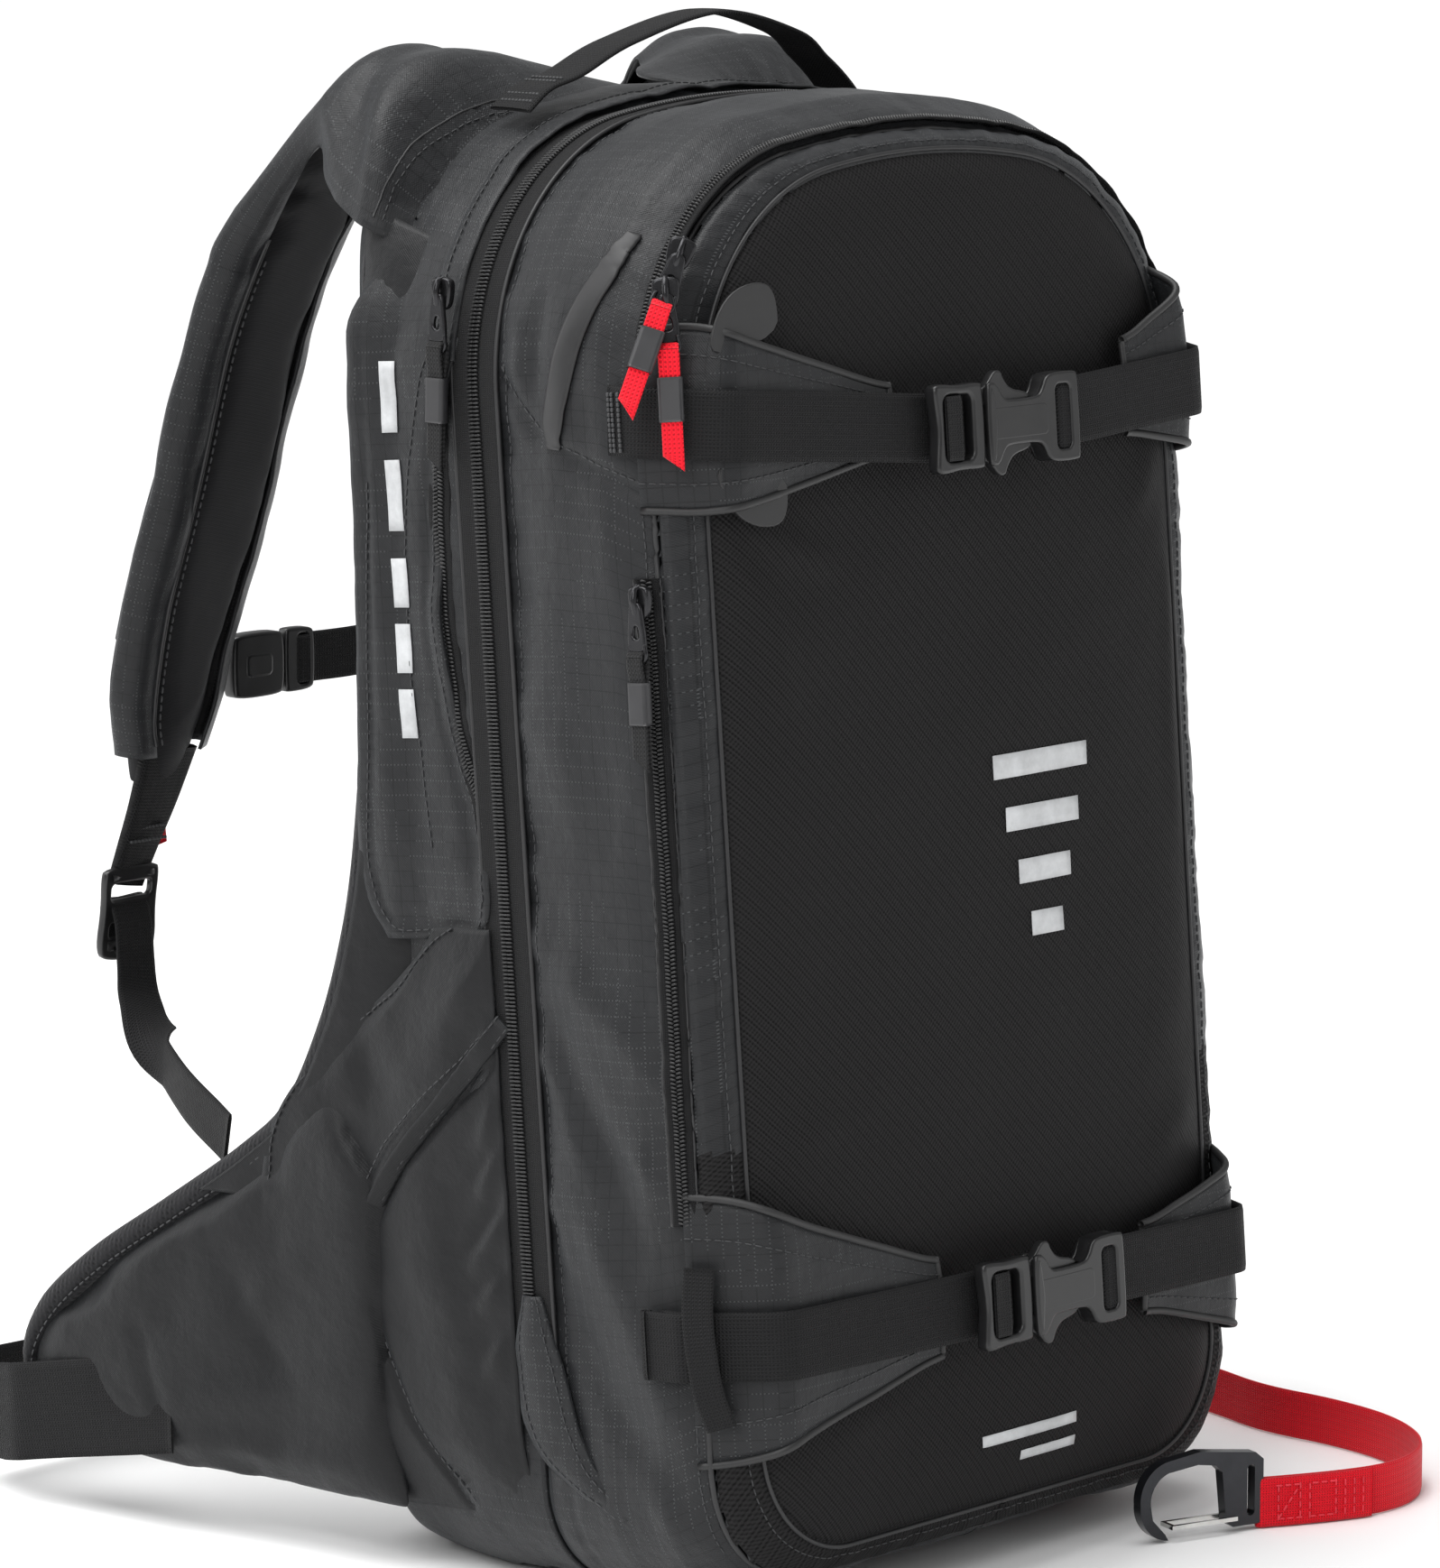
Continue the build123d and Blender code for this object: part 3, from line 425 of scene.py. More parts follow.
def fabric(name, colour, kind="uv", grid=5.6, grid_dark=0.55, light=0.0, rough=0.5, sheen=0.25, fine=0.5,
        bump=0.35, crease=0.12, variation=0.12):
    """Coated ripstop nylon: fine weave, heavier threads in a grid, some lighter, and handling creases."""
    net = Net(name)
    where = net.place(kind)
    split = net.node("SeparateXYZ", {0: where})
    u, v = (split.outputs[0], split.outputs[1]) if kind == "uv" else (split.outputs[1], split.outputs[2])
    mottled = net.noise(net.place("object"), 9.0, 4.0)
    worn = net.noise(net.place("object"), 55.0, 5.0, 0.65)
    dark = tuple(c * (1 - variation) for c in colour)
    pale = tuple(min(1, c * (1 + variation)) for c in colour)
    base = net.ramp(mottled, [(0.3, dark), (0.7, pale)])
    height = weave(net, u, v, fine)
    normal = net.bump(height, bump, 0.0002)
    if grid:
        lines = []
        for value in (u, v):
            wave = net.math("FRACT", net.math("DIVIDE", value, grid * MM))
            lines.append(net.math("LESS_THAN", net.math("ABSOLUTE", net.math("SUBTRACT", wave, 0.5)), 0.045))
        line = net.math("MAXIMUM", lines[0], lines[1])
        base = net.mix(net.math("MULTIPLY", line, 0.75), base, tuple(c * grid_dark for c in colour))
        normal = net.bump(line, 0.35, 0.0002, normal)
        if light:
            dots = []
            for stripe, run in ((lines[0], v), (lines[1], u)):
                patch = net.math("GREATER_THAN", net.noise(net.place("object"), 21.0 + 9.0 * len(dots), 2.0),
                    0.5)
                dots.append(net.math("MULTIPLY", net.math("MULTIPLY", stripe,
                    net.math("GREATER_THAN", stripes(net, run, 1.5), 0.6)), patch))
            dash = net.math("MAXIMUM", dots[0], dots[1])
            base = net.mix(net.math("MULTIPLY", dash, light), base, (0.125, 0.13, 0.135))
    creases = net.noise(net.place("object"), 34.0, 6.0, 0.6)
    normal = net.bump(creases, crease, 0.006, normal)
    base = net.mix(net.math("MULTIPLY", net.math("SUBTRACT", worn, 0.5, clamp=True), 0.5), base,
        tuple(min(1, c * 1.5 + 0.01) for c in colour))
    roughness = net.math("ADD", net.math("MULTIPLY", worn, 0.22), rough - 0.1)
    return net.set(Base_Color=base, Roughness=roughness, Normal=normal, Sheen_Weight=sheen,
        Sheen_Roughness=0.45, Sheen_Tint=(0.8, 0.85, 0.9), Specular_IOR_Level=0.2)


def ballistic(name, colour):
    """Heavy basket weave with a low lustre, woven square to the piece's own run."""
    net = Net(name)
    split = net.node("SeparateXYZ", {0: net.place("uv")})
    u, v = split.outputs[0], split.outputs[1]
    diagonal = net.math("ADD", u, v)
    across = net.math("SUBTRACT", u, v)
    height = weave(net, u, v, 0.95)
    twill = stripes(net, diagonal, 2.7)
    height = net.math("ADD", height, net.math("MULTIPLY", twill, 0.35))
    threads = stripes(net, across, 0.55)
    height = net.math("ADD", height, net.math("MULTIPLY", threads, 0.15))
    base = net.ramp(height, [(0.25, tuple(c * 0.45 for c in colour)),
        (0.95, tuple(min(1, c * 1.55) for c in colour))])
    tone = net.noise(net.place("object"), 7.0, 3.0)
    base = net.mix(net.math("MULTIPLY", net.math("SUBTRACT", tone, 0.45, clamp=True), 0.8), base,
        tuple(c * 1.5 for c in colour))
    normal = net.bump(height, 0.7, 0.0004)
    normal = net.bump(net.noise(net.place("object"), 16.0, 4.0), 0.10, 0.01, normal)
    return net.set(Base_Color=base, Roughness=net.math("ADD", net.math("MULTIPLY", height, -0.12), 0.62),
        Normal=normal, Specular_IOR_Level=0.06)


def webbing(name, colour, rib=1.35, rough=0.62, sheen=0.2):
    """Woven webbing: ribs across the strap, threads along it and a tight selvedge."""
    net = Net(name)
    split = net.node("SeparateXYZ", {0: net.place("uv")})
    u, v = split.outputs[0], split.outputs[1]
    ribs = stripes(net, u, rib)
    cells = weave(net, u, v, rib * 0.5)
    threads = stripes(net, v, 0.8)
    height = net.math("ADD", net.math("MULTIPLY", cells, 0.7), net.math("MULTIPLY", threads, 0.3))
    height = net.math("ADD", height, net.math("MULTIPLY", ribs, 0.45))
    base = net.ramp(height, [(0.3, tuple(c * 0.5 for c in colour)),
        (1.15 / 1.3, tuple(min(1, c * 1.4) for c in colour))])
    fuzz = net.noise(net.place("object"), 220.0, 3.0)
    base = net.mix(net.math("MULTIPLY", fuzz, 0.3), base, tuple(min(1, c * 1.3 + 0.004) for c in colour))
    normal = net.bump(height, 0.8, 0.0004)
    return net.set(Base_Color=base, Roughness=net.math("ADD", net.math("MULTIPLY", fuzz, 0.2), rough - 0.1),
        Normal=normal, Sheen_Weight=sheen, Sheen_Roughness=0.4, Specular_IOR_Level=0.14)


def plastic(name, colour, rough=0.32, grain=900.0, depth=0.00006, metallic=0.0, coat=0.0, wear=0.3):
    """Moulded or anodised surface with fine grain, handling marks and a little variation."""
    net = Net(name)
    where = net.place("object")
    fine = net.noise(where, grain, 2.0)
    marks = net.noise(where, 70.0, 6.0, 0.7)
    base = net.ramp(marks, [(0.35, tuple(c * 0.85 for c in colour)),
        (0.75, tuple(min(1, c * 1.25 + 0.003) for c in colour))])
    roughness = net.math("ADD", net.math("MULTIPLY", marks, wear), rough - wear / 2)
    normal = net.bump(fine, 0.35, depth)
    return net.set(Base_Color=base, Roughness=roughness, Normal=normal, Metallic=metallic, Coat_Weight=coat,
        Coat_Roughness=0.15)


def foam_mesh(name, colour, cell=3.2):
    """Spacer mesh: a hexagon-like field of small holes over foam."""
    net = Net(name)
    holes = net.node("TexVoronoi", {"Vector": net.place("object"), "Scale": 1 / (cell * MM),
        "Randomness": 0.25}).outputs["Distance"]
    height = net.math("MULTIPLY", holes, 1.6, clamp=True)
    base = net.ramp(height, [(0.2, tuple(c * 0.35 for c in colour)), (0.55, colour)])
    normal = net.bump(height, 0.6, 0.0006)
    normal = net.bump(net.noise(net.place("object"), 900.0, 2.0), 0.3, 0.0002, normal)
    return net.set(Base_Color=base, Roughness=0.85, Normal=normal, Sheen_Weight=0.12, Sheen_Roughness=0.5,
        Specular_IOR_Level=0.15)


materials = {
    "ripstop": fabric("ripstop", (0.0178, 0.0183, 0.0196), light=0.32, rough=0.38, sheen=0.06, crease=0.3),
    "ripstop_dark": fabric("ripstop_dark", (0.022, 0.023, 0.025), light=0.2, rough=0.5, sheen=0.10),
    "ripstop_yoke": fabric("ripstop_yoke", (0.023, 0.024, 0.0265), kind="object", light=0.0, grid=5.6,
    rough=0.46, sheen=0.05),
    "stretch": fabric("stretch", (0.0105, 0.0107, 0.0115), kind="object", grid=0, rough=0.38, sheen=0.06,
    fine=0.45, crease=0.3),
    "smooth_lining": fabric("smooth_lining", (0.011, 0.011, 0.012), kind="object", grid=0, rough=0.62,
    sheen=0.03, fine=0.5, crease=0.06),
    "lining": fabric("lining", (0.07, 0.072, 0.076), grid=4.2, rough=0.6, sheen=0.1),
    "ballistic": ballistic("ballistic", (0.0125, 0.0122, 0.0125)),
    "back_foam": foam_mesh("back_foam", (0.020, 0.021, 0.022)),
    "fleece": foam_mesh("fleece", (0.016, 0.016, 0.0175), 2.2),
    "black_webbing": webbing("black_webbing", (0.0085, 0.0085, 0.009), sheen=0.02),
    "red_webbing": webbing("red_webbing", (0.56, 0.003, 0.012), rib=1.1, rough=0.5, sheen=0.1),
    "red_pull": webbing("red_pull", (0.70, 0.008, 0.02), rib=1.6, rough=0.55, sheen=0.1),
    "black_pull": webbing("black_pull", (0.013, 0.013, 0.0135), rib=1.6, sheen=0.06),
    "zip_tape": webbing("zip_tape", (0.009, 0.009, 0.0095), rib=0.7, rough=0.75, sheen=0.05),
    "coil": plastic("coil", (0.008, 0.008, 0.0085), rough=0.40, wear=0.15),
    "thread": plastic("thread", (0.030, 0.031, 0.033), rough=0.6, wear=0.1),
    "red_thread": plastic("red_thread", (0.66, 0.02, 0.04), rough=0.55, wear=0.1),
    "rubber": plastic("rubber", (0.012, 0.012, 0.0125), rough=0.52, grain=1500.0, wear=0.2),
    "piping": plastic("piping", (0.011, 0.011, 0.012), rough=0.48, grain=700.0, wear=0.2),
    "sleeve": plastic("sleeve", (0.020, 0.020, 0.022), rough=0.45, grain=600.0, wear=0.25),
    "buckle_plastic": plastic("buckle_plastic", (0.0085, 0.0085, 0.009), rough=0.33, grain=1100.0,
    depth=0.00004, wear=0.18),
    "metal_black": plastic("metal_black", (0.03, 0.03, 0.032), rough=0.22, grain=700.0, metallic=0.8,
    wear=0.2),
    "anodised": plastic("anodised", (0.020, 0.021, 0.025), rough=0.32, grain=2000.0, depth=0.00003,
    metallic=0.7, coat=0.25, wear=0.25),
    "steel_wire": plastic("steel_wire", (0.62, 0.62, 0.60), rough=0.2, grain=1800.0, depth=0.00002,
    metallic=1.0, wear=0.2),
    "alloy": plastic("alloy", (0.50, 0.50, 0.51), rough=0.35, grain=1500.0, metallic=1.0, wear=0.2),
    "sheet_plastic": plastic("sheet_plastic", (0.030, 0.031, 0.033), rough=0.45, wear=0.3),
    "airbag_fabric": fabric("airbag_fabric", (0.55, 0.10, 0.012), kind="object", grid=6.0, rough=0.5,
    sheen=0.2),
    "motor_metal": plastic("motor_metal", (0.33, 0.33, 0.34), rough=0.3, metallic=1.0, wear=0.3),
    "board": plastic("board", (0.010, 0.085, 0.035), rough=0.4, grain=400.0, wear=0.2),
    "button": plastic("button", (0.55, 0.02, 0.02), rough=0.35, grain=900.0, wear=0.15),
    "red_grip": plastic("red_grip", (0.60, 0.012, 0.02), rough=0.4, grain=800.0, wear=0.2),
    "reflective": plastic("reflective", (0.50, 0.51, 0.52), rough=0.42, grain=2200.0, depth=0.00008,
    wear=0.2),
}

# ---------------------------------------------------------------- camera, light and floor

AZIMUTH, ELEVATION, DISTANCE = math.radians(-47), math.radians(9), 2.6
target = Vector((-0.013, 0.014, 0.283))
back = Vector((math.sin(AZIMUTH) * math.cos(ELEVATION), -math.cos(AZIMUTH) * math.cos(ELEVATION),
    math.sin(ELEVATION)))
camera = bpy.data.objects.new("camera", bpy.data.cameras.new("camera"))
camera.data.lens = 158
camera.data.sensor_width = 36
camera.location = target + back * DISTANCE
camera.rotation_euler = (target - camera.location).to_track_quat("-Z", "Y").to_euler()
bpy.context.scene.collection.objects.link(camera)
bpy.context.scene.camera = camera


def area_light(name, where, aim, size, power):
    light = bpy.data.lights.new(name, "AREA")
    light.shape = "RECTANGLE"
    light.size, light.size_y = size
    light.energy = power
    lamp = bpy.data.objects.new(name, light)
    lamp.location = where
    lamp.rotation_euler = (Vector(aim) - Vector(where)).to_track_quat("-Z", "Y").to_euler()
    bpy.context.scene.collection.objects.link(lamp)


area_light("key", (-2.2, -0.9, 1.7), (0, 0, 0.3), (1.1, 1.6), 26)
area_light("fill", (1.3, -2.4, 0.9), (0, 0, 0.3), (1.4, 1.6), 8)
area_light("top", (0.0, 0.2, 2.4), (0, 0, 0.3), (1.6, 1.6), 16)
area_light("rim", (-1.2, 2.0, 1.0), (0, 0, 0.3), (1.2, 1.4), 12)
sun = bpy.data.lights.new("overhead", "SUN")
sun.energy, sun.angle = 2.6, math.radians(50)
overhead = bpy.data.objects.new("overhead", sun)
overhead.rotation_euler = (math.radians(-16), math.radians(-20), 0)
bpy.context.scene.collection.objects.link(overhead)
world = bpy.data.worlds.new("studio")
world.use_nodes = True
sky = world.node_tree
sky.nodes["Background"].inputs["Color"].default_value = (1, 1, 1, 1)
seen = sky.nodes.new("ShaderNodeLightPath")
strength = sky.nodes.new("ShaderNodeMapRange")
strength.inputs["To Min"].default_value = 0.42
strength.inputs["To Max"].default_value = 1.05
sky.links.new(seen.outputs["Is Camera Ray"], strength.inputs["Value"])
sky.links.new(strength.outputs["Result"], sky.nodes["Background"].inputs["Strength"])
bpy.context.scene.world = world
bpy.context.scene.view_settings.view_transform = "Standard"

floor_net = Net("floor")
floor_tone = floor_net.noise(floor_net.place("object"), 1.5, 2.0)
floor_net.set(Base_Color=floor_net.ramp(floor_tone, [(0.3, (0.93, 0.93, 0.93)), (0.7, (0.96, 0.96, 0.96))]),
    Roughness=0.8)
half_floor = 6.0
floor_mesh = bpy.data.meshes.new("floor")
floor_mesh.from_pydata([(-half_floor, -half_floor, -0.0005), (half_floor, -half_floor, -0.0005),
    (half_floor, half_floor, -0.0005), (-half_floor, half_floor, -0.0005)], [], [(0, 1, 2, 3)])
floor_mesh.materials.append(floor_net.material)
floor = bpy.data.objects.new("floor", floor_mesh)
bpy.context.scene.collection.objects.link(floor)

# ---------------------------------------------------------------- leg strap, the one free cord

LEG_ROUTE = (
    (66, 90), (78, 110), (102, 124), (135, 126), (169, 117), (201, 100), (227, 74), (241, 41), (243, 6),
    (236, -29), (226, -61), (228, -97), (221, -133), (200, -163), (170, -175), (140, -167.5), (112, -151),
)
LEG_WIDTH, LEG_Z = 19, 9.6

curve = bpy.data.curves.new("leg_route", "CURVE")
curve.dimensions = "3D"
curve.resolution_u = 24
run = curve.splines.new("NURBS")
run.points.add(len(LEG_ROUTE) - 1)
for point, (x, y) in zip(run.points, LEG_ROUTE):
    point.co = (x * MM, y * MM, LEG_Z * MM, 1)
run.order_u = 3
run.use_endpoint_u = True
route_object = bpy.data.objects.new("leg_route", curve)
bpy.context.scene.collection.objects.link(route_object)
bpy.context.view_layer.update()
route_now = route_object.evaluated_get(bpy.context.evaluated_depsgraph_get())
route_mesh = bpy.data.meshes.new_from_object(route_now)
leg_path = np.array([v.co for v in route_mesh.vertices])
bpy.data.objects.remove(route_object)

leg_strap = ribbon("leg_strap_webbing", leg_path, (0, 0, 1), LEG_WIDTH, 1.7, "red_webbing", "harness",
    edge=0.6)
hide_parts("leg_strap")

# ---------------------------------------------------------------- bag surfaces

HALF_WIDTH, CREST, CROWN, CORNER, FOOT = 146, 539, 28, 95, 42
SPLIT, SEAM, PANEL, BACK_Y = -27, -108, -118, 68
COUNTS = (38, 24, 150, 54, 26)  # points on half the base, the foot, the side, the corner and half the crown


def half_arch(half, base, top, crown, corner, foot, counts=COUNTS):
    """Left half of the bag's outline, from the middle of the base to the crest."""
    big = (half * half + crown * crown) / (2 * crown)
    cx = -half + corner
    cy = (top - big) + math.sqrt((big - corner) ** 2 - cx * cx)
    turn = math.atan2(cy - (top - big), cx)
    pieces = []
    a, b, c, d, e = counts
    t = np.linspace(0, 1, a, endpoint=False)
    pieces.append(np.stack([-(half - foot) * t, np.full(a, base)], -1))
    t = np.linspace(0, 1, b, endpoint=False) * math.pi / 2
    pieces.append(np.stack([-half + foot - foot * np.sin(t), base + foot - foot * np.cos(t)], -1))
    t = np.linspace(0, 1, c, endpoint=False)
    pieces.append(np.stack([np.full(c, -half), base + foot + (cy - base - foot) * t], -1))
    t = np.linspace(math.pi, turn, d, endpoint=False)
    pieces.append(np.stack([cx + corner * np.cos(t), cy + corner * np.sin(t)], -1))
    t = np.linspace(turn, math.pi / 2, e + 1)
    pieces.append(np.stack([big * np.cos(t), top - big + big * np.sin(t)], -1))
    return np.concatenate(pieces)


def full_arch(*shape):
    left = half_arch(*shape)
    right = left[-2:0:-1] * (-1, 1)
    return np.concatenate([left, right])


def at_depth(rings, w):
    """Outline shape at a depth, read between rings of (w, half, base, top, corner, foot)."""
    table = np.array(sorted(rings))
    half, base, top, corner, foot = (np.interp(w, table[:, 0], table[:, k]) for k in range(1, 6))
    return half, base, top, CROWN * half / HALF_WIDTH, corner, foot


def arc_length(ring):
    return np.r_[0, np.cumsum(np.linalg.norm(np.diff(ring, axis=0), axis=1))]


def fold_height(side, height, folds, width_noise=0.0):
    """Height of soft folds; each is (points, half width, height)."""
    at = np.stack([side, height], -1)
    total = np.zeros(side.shape)
    for line, reach, rise in folds:
        d, along = distance_to(at, line)
        total += rise * np.exp(-(d / (reach * (1 + width_noise))) ** 2) * np.sin(np.pi
            * np.clip(along, 0.02, 0.98)) ** 0.6
    return total


def groove(side, height, line, depth=1.1, reach=2.2):
    d, _ = distance_to(np.stack([side, height], -1), line)
    return -depth * np.exp(-(d / reach) ** 2)


# Folds on the side of the front bag and of the airbag bag, as depth and height along the bag
FRONT_FOLDS = (
    (((-60, 482), (-57, 440)), 6, -2.2), (((-50, 470), (-49, 430)), 5, 1.4),
    (((-72, 440), (-66, 415)), 7, 1.2),
    (((-48, 340), (-56, 310), (-70, 288)), 12, 1.6), (((-46, 400), (-44, 330)), 6, -1.3),
    (((-46, 236), (-78, 213), (-106, 186)), 10, 3.0), (((-44, 222), (-62, 182), (-90, 124)), 9, -2.6),
    (((-42, 205), (-54, 172), (-74, 140)), 7, 2.0),
    (((-41, 170), (-62, 134), (-88, 84), (-106, 52)), 10, 3.2),
    (((-40, 125), (-48, 102), (-66, 74), (-94, 42)), 8, -2.8), (((-40, 150), (-52, 118)), 5, 1.5),
    (((-80, 170), (-98, 150)), 6, 1.8), (((-92, 200), (-104, 205)), 5, -1.5),
    (((-76, 60), (-100, 20)), 9, 2.0),
    (((-95, 330), (-99, 260)), 8, 1.0), (((-86, 395), (-96, 360)), 7, 0.9),
)
REAR_FOLDS = (
    (((-20, 186), (-8, 163)), 4.5, 2.4), (((-21, 176), (-4, 150)), 3.5, -1.6),
    (((-20, 168), (-6, 146)), 4.5, 2.6), (((-20, 152), (-2, 128)), 3.5, -1.8),
    (((-20, 142), (-2, 118)), 4.5, 2.4), (((-19, 118), (-4, 104)), 4.0, 2.2),
    (((-19, 96), (-6, 80)), 4.0, 1.8), (((-19, 205), (-10, 190)), 4.5, 1.6),
    (((-16, 240), (8, 200), (34, 170)), 12, 2.2), (((30, 150), (10, 100), (2, 50)), 16, 2.6),
    (((50, 210), (40, 180)), 9, -1.2),
    (((-18, 60), (10, 40)), 10, 2.0), (((-20, 460), (-14, 420)), 6, 1.2), (((20, 520), (40, 470)), 10, 1.5),
)
POCKET_HEM = ((-24, 212), (-11, 199), (9, 183), (33, 161), (51, 138))
POCKET_CURVE = ((53, 132), (54, 110), (46, 88), (33, 60), (14, 30))
YOKE_SEAM = ((-16, 246), (6, 247), (29, 224), (46, 214), (66, 200))
DIAGONAL = ((-40, 447), (-57, 426), (-83, 413), (-110, 402))


def side_weight(x, half=HALF_WIDTH):
    return smooth(np.abs(x), half - 26, half - 5)


FRONT_RINGS = (
    (SPLIT - 0.3, 145.2, -1.5, 538.4, 95, 42), (-33, 146.6, -2, 539.6, 95, 42), (-62, 148.6, -2, 541, 95, 42),
    (-88, 147.6, -1, 538, 95, 43),
    (-100, 145.4, 2, 531.5, 95, 45), (SEAM, 142.6, 6, 525.4, 95, 46),
)
depths = np.linspace(SPLIT - 0.3, SEAM, 38)
grid = np.stack([lean(*(lambda ring, w: (ring[:, 0], w, ring[:, 1]))(full_arch(*at_depth(FRONT_RINGS, w)),
    w)) for w in depths])
grid = np.concatenate([grid, grid[:, :1]], 1)
where = unlean(grid)
normal = -normals_of(grid)
if (normal[20, 200] @ np.array([-1.0, 0, 0])) < 0:
    normal = -normal
widest = full_arch(*at_depth(FRONT_RINGS, -62))
perimeter = arc_length(np.concatenate([widest, widest[:1]]))
x, w, v = where[..., 0], where[..., 1], where[..., 2]
s = np.broadcast_to(perimeter, x.shape)
seam_near = np.minimum(np.abs(w - SEAM), np.abs(w + 39))
pucker = noise_at(np.stack([s, w * 0.25, v * 0], -1) * MM, 11, 3.1)
lift = 1.3 * noise_at(grid, 70, 1.7) + 0.5 * noise_at(grid, 26, 5.2) + 1.5 * pucker * np.exp(-seam_near / 9)
lift += side_weight(x) * (fold_height(w, v, FRONT_FOLDS) + groove(w, v, DIAGONAL, 1.6, 2.4))
lift += -1.3 * np.exp(-((w - SEAM) / 2.4) ** 2) - 0.6 * np.exp(-((w + 40) / 1.6) ** 2)
# the top sags a little between its seams
lift += smooth(v, 500, 535) * (0.8 * np.sin((w - SEAM) / 81 * math.pi)) * 2
lift *= smooth(-w, 27, 31)
lift = np.where(v < 4, np.minimum(lift, 0.8), lift)
front_grid = grid + normal * lift[..., None] * MM
front_grid[..., 2] = np.maximum(front_grid[..., 2], 0.0006)
uv = np.stack([s, w], -1) * MM
front_bag = shell("front_bag_skin", front_grid, uv, 1.2, "ripstop", "booster")
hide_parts("booster_shell")


def surface_height(grid_points, material_normal):
    """Lookup of a skin's own outer points, to lay trims on it."""
    flat = grid_points.reshape(-1, 3)
    tree = kdtree.KDTree(len(flat))
    for k, p in enumerate(flat):
        tree.insert(Vector(p), k)
    tree.balance()
    normals = material_normal.reshape(-1, 3)

    def lay(points, lift=0.0):
        """Points moved on to the skin, lifted by so many millimetres, and the skin's normals there."""
        out, ups = [], []
        for p in np.asarray(points, float):
            near = tree.find_n(Vector(p), 4)
            weights = np.array([1 / (d + 0.0004) for _, _, d in near])
            weights /= weights.sum()
            at = sum(wt * flat[k] for wt, (_, k, _) in zip(weights, near))
            up = unit(sum(wt * normals[k] for wt, (_, k, _) in zip(weights, near)))
            p = np.asarray(p)
            p = p - up * ((p - at) @ up)
            out.append(p + up * lift * MM)
            ups.append(up)
        return np.array(out), np.array(ups)

    return lay


front_normal = -normals_of(front_grid)
if (front_normal[20, 200] @ np.array([-1.0, 0, 0])) < 0:
    front_normal = -front_normal
on_front_bag = surface_height(front_grid, front_normal)

# Airbag bag: from the split plane to the upright back
t_rows = np.linspace(0, 1, 40)
front_edge = full_arch(145.2, -1.5, 538.4, CROWN, CORNER, FOOT)
back_edge = full_arch(142.5, 0.5, 543, CROWN, 97, FOOT)
rows = []
for t in t_rows:
    a = lean(front_edge[:, 0], SPLIT + 0.3, front_edge[:, 1])
    b = np.stack([back_edge[:, 0], np.full(len(back_edge), BACK_Y - 1.0), back_edge[:, 1]], -1) * MM
    rows.append(a * (1 - t) + b * t)
grid = np.stack(rows)
grid = np.concatenate([grid, grid[:, :1]], 1)
where = unlean(grid)
normal = normals_of(grid)
if (normal[20, 200] @ np.array([-1.0, 0, 0])) < 0:
    normal = -normal
x, w, v = where[..., 0], where[..., 1], where[..., 2]
t = np.broadcast_to(t_rows[:, None], x.shape)
s = np.broadcast_to(perimeter, x.shape)
pucker = noise_at(np.stack([s, w * 0.3, v * 0], -1) * MM, 11, 8.4)
lift = 1.2 * noise_at(grid, 60, 4.4) + 0.5 * noise_at(grid, 24,
    2.2) + 1.4 * pucker * np.exp(-np.abs(w + 16) / 8)
lift += 2.2 * np.sin(t * math.pi)
lift += side_weight(x, 143) * (fold_height(w, v, REAR_FOLDS) + groove(w, v, POCKET_CURVE, 1.6, 2.2)
    + groove(w, v, YOKE_SEAM, 1.3, 2.0))
pocket = side_weight(x, 143) * smooth(v, 30, 60) * (1 - smooth(v, 190, 225)) * smooth(w, -20, -8)
lift += 2.2 * pocket
lift -= 6.0 * smooth(t, 0.9, 1.0) ** 2
lift *= smooth(t, 0, 0.06)
lift = np.where(v < 6, np.minimum(lift, 0.4), lift)
rear_grid = grid + normal * lift[..., None] * MM
rear_grid[..., 2] = np.maximum(rear_grid[..., 2], 0.0)
uv = np.stack([s, w], -1) * MM
rear_bag = shell("airbag_bag_skin", rear_grid, uv, 1.2, "ripstop", "harness")
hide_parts("airbag_compartment")
rear_normal = normals_of(rear_grid)
if (rear_normal[20, 200] @ np.array([-1.0, 0, 0])) < 0:
    rear_normal = -rear_normal
on_rear_bag = surface_height(rear_grid, rear_normal)

# Pocket gusset: ripstop strip between the side seam and the ballistic panel
GUSSET_RINGS = ((SEAM - 0.2, 142.6, 6, 525.4, 95, 46), (-111, 140.5, 8.5, 524.0, 94, 46),
    (-115, 134, 12.5, 521, 91, 45), (PANEL, 127.4, 16, 518, 88, 44), (PANEL - 0.8, 125.0, 18, 516, 87, 43))
depths = np.linspace(SEAM - 0.2, PANEL - 0.8, 14)
rows = []
for w in depths:
    ring = full_arch(*at_depth(GUSSET_RINGS, w))
    rows.append(lean(ring[:, 0], w, ring[:, 1]))
grid = np.stack(rows)
grid = np.concatenate([grid, grid[:, :1]], 1)
where = unlean(grid)
x, w, v = where[..., 0], where[..., 1], where[..., 2]
normal = -normals_of(grid)
if (normal[7, 200] @ np.array([-1.0, 0, 0])) < 0:
    normal = -normal
s = np.broadcast_to(perimeter, x.shape)
pucker = noise_at(np.stack([s, w * 0.2, v * 0], -1) * MM, 10, 6.6)
lift = 0.6 * noise_at(grid, 40, 2.9) + 0.9 * pucker + 1.8 * np.sin((w - depths[0]) / (depths[-1] - depths[0])
    * math.pi) ** 0.7
lift *= smooth(np.minimum(w - depths[-1], depths[0] - w), 0, 2.5)
gusset_grid = grid + normal * lift[..., None] * MM
pocket_gusset = shell("pocket_gusset", gusset_grid, np.stack([s, w], -1) * MM, 1.0, "ripstop", "booster")
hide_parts("front_panel")
pocket_gusset.data.materials.append(materials["ballistic"])
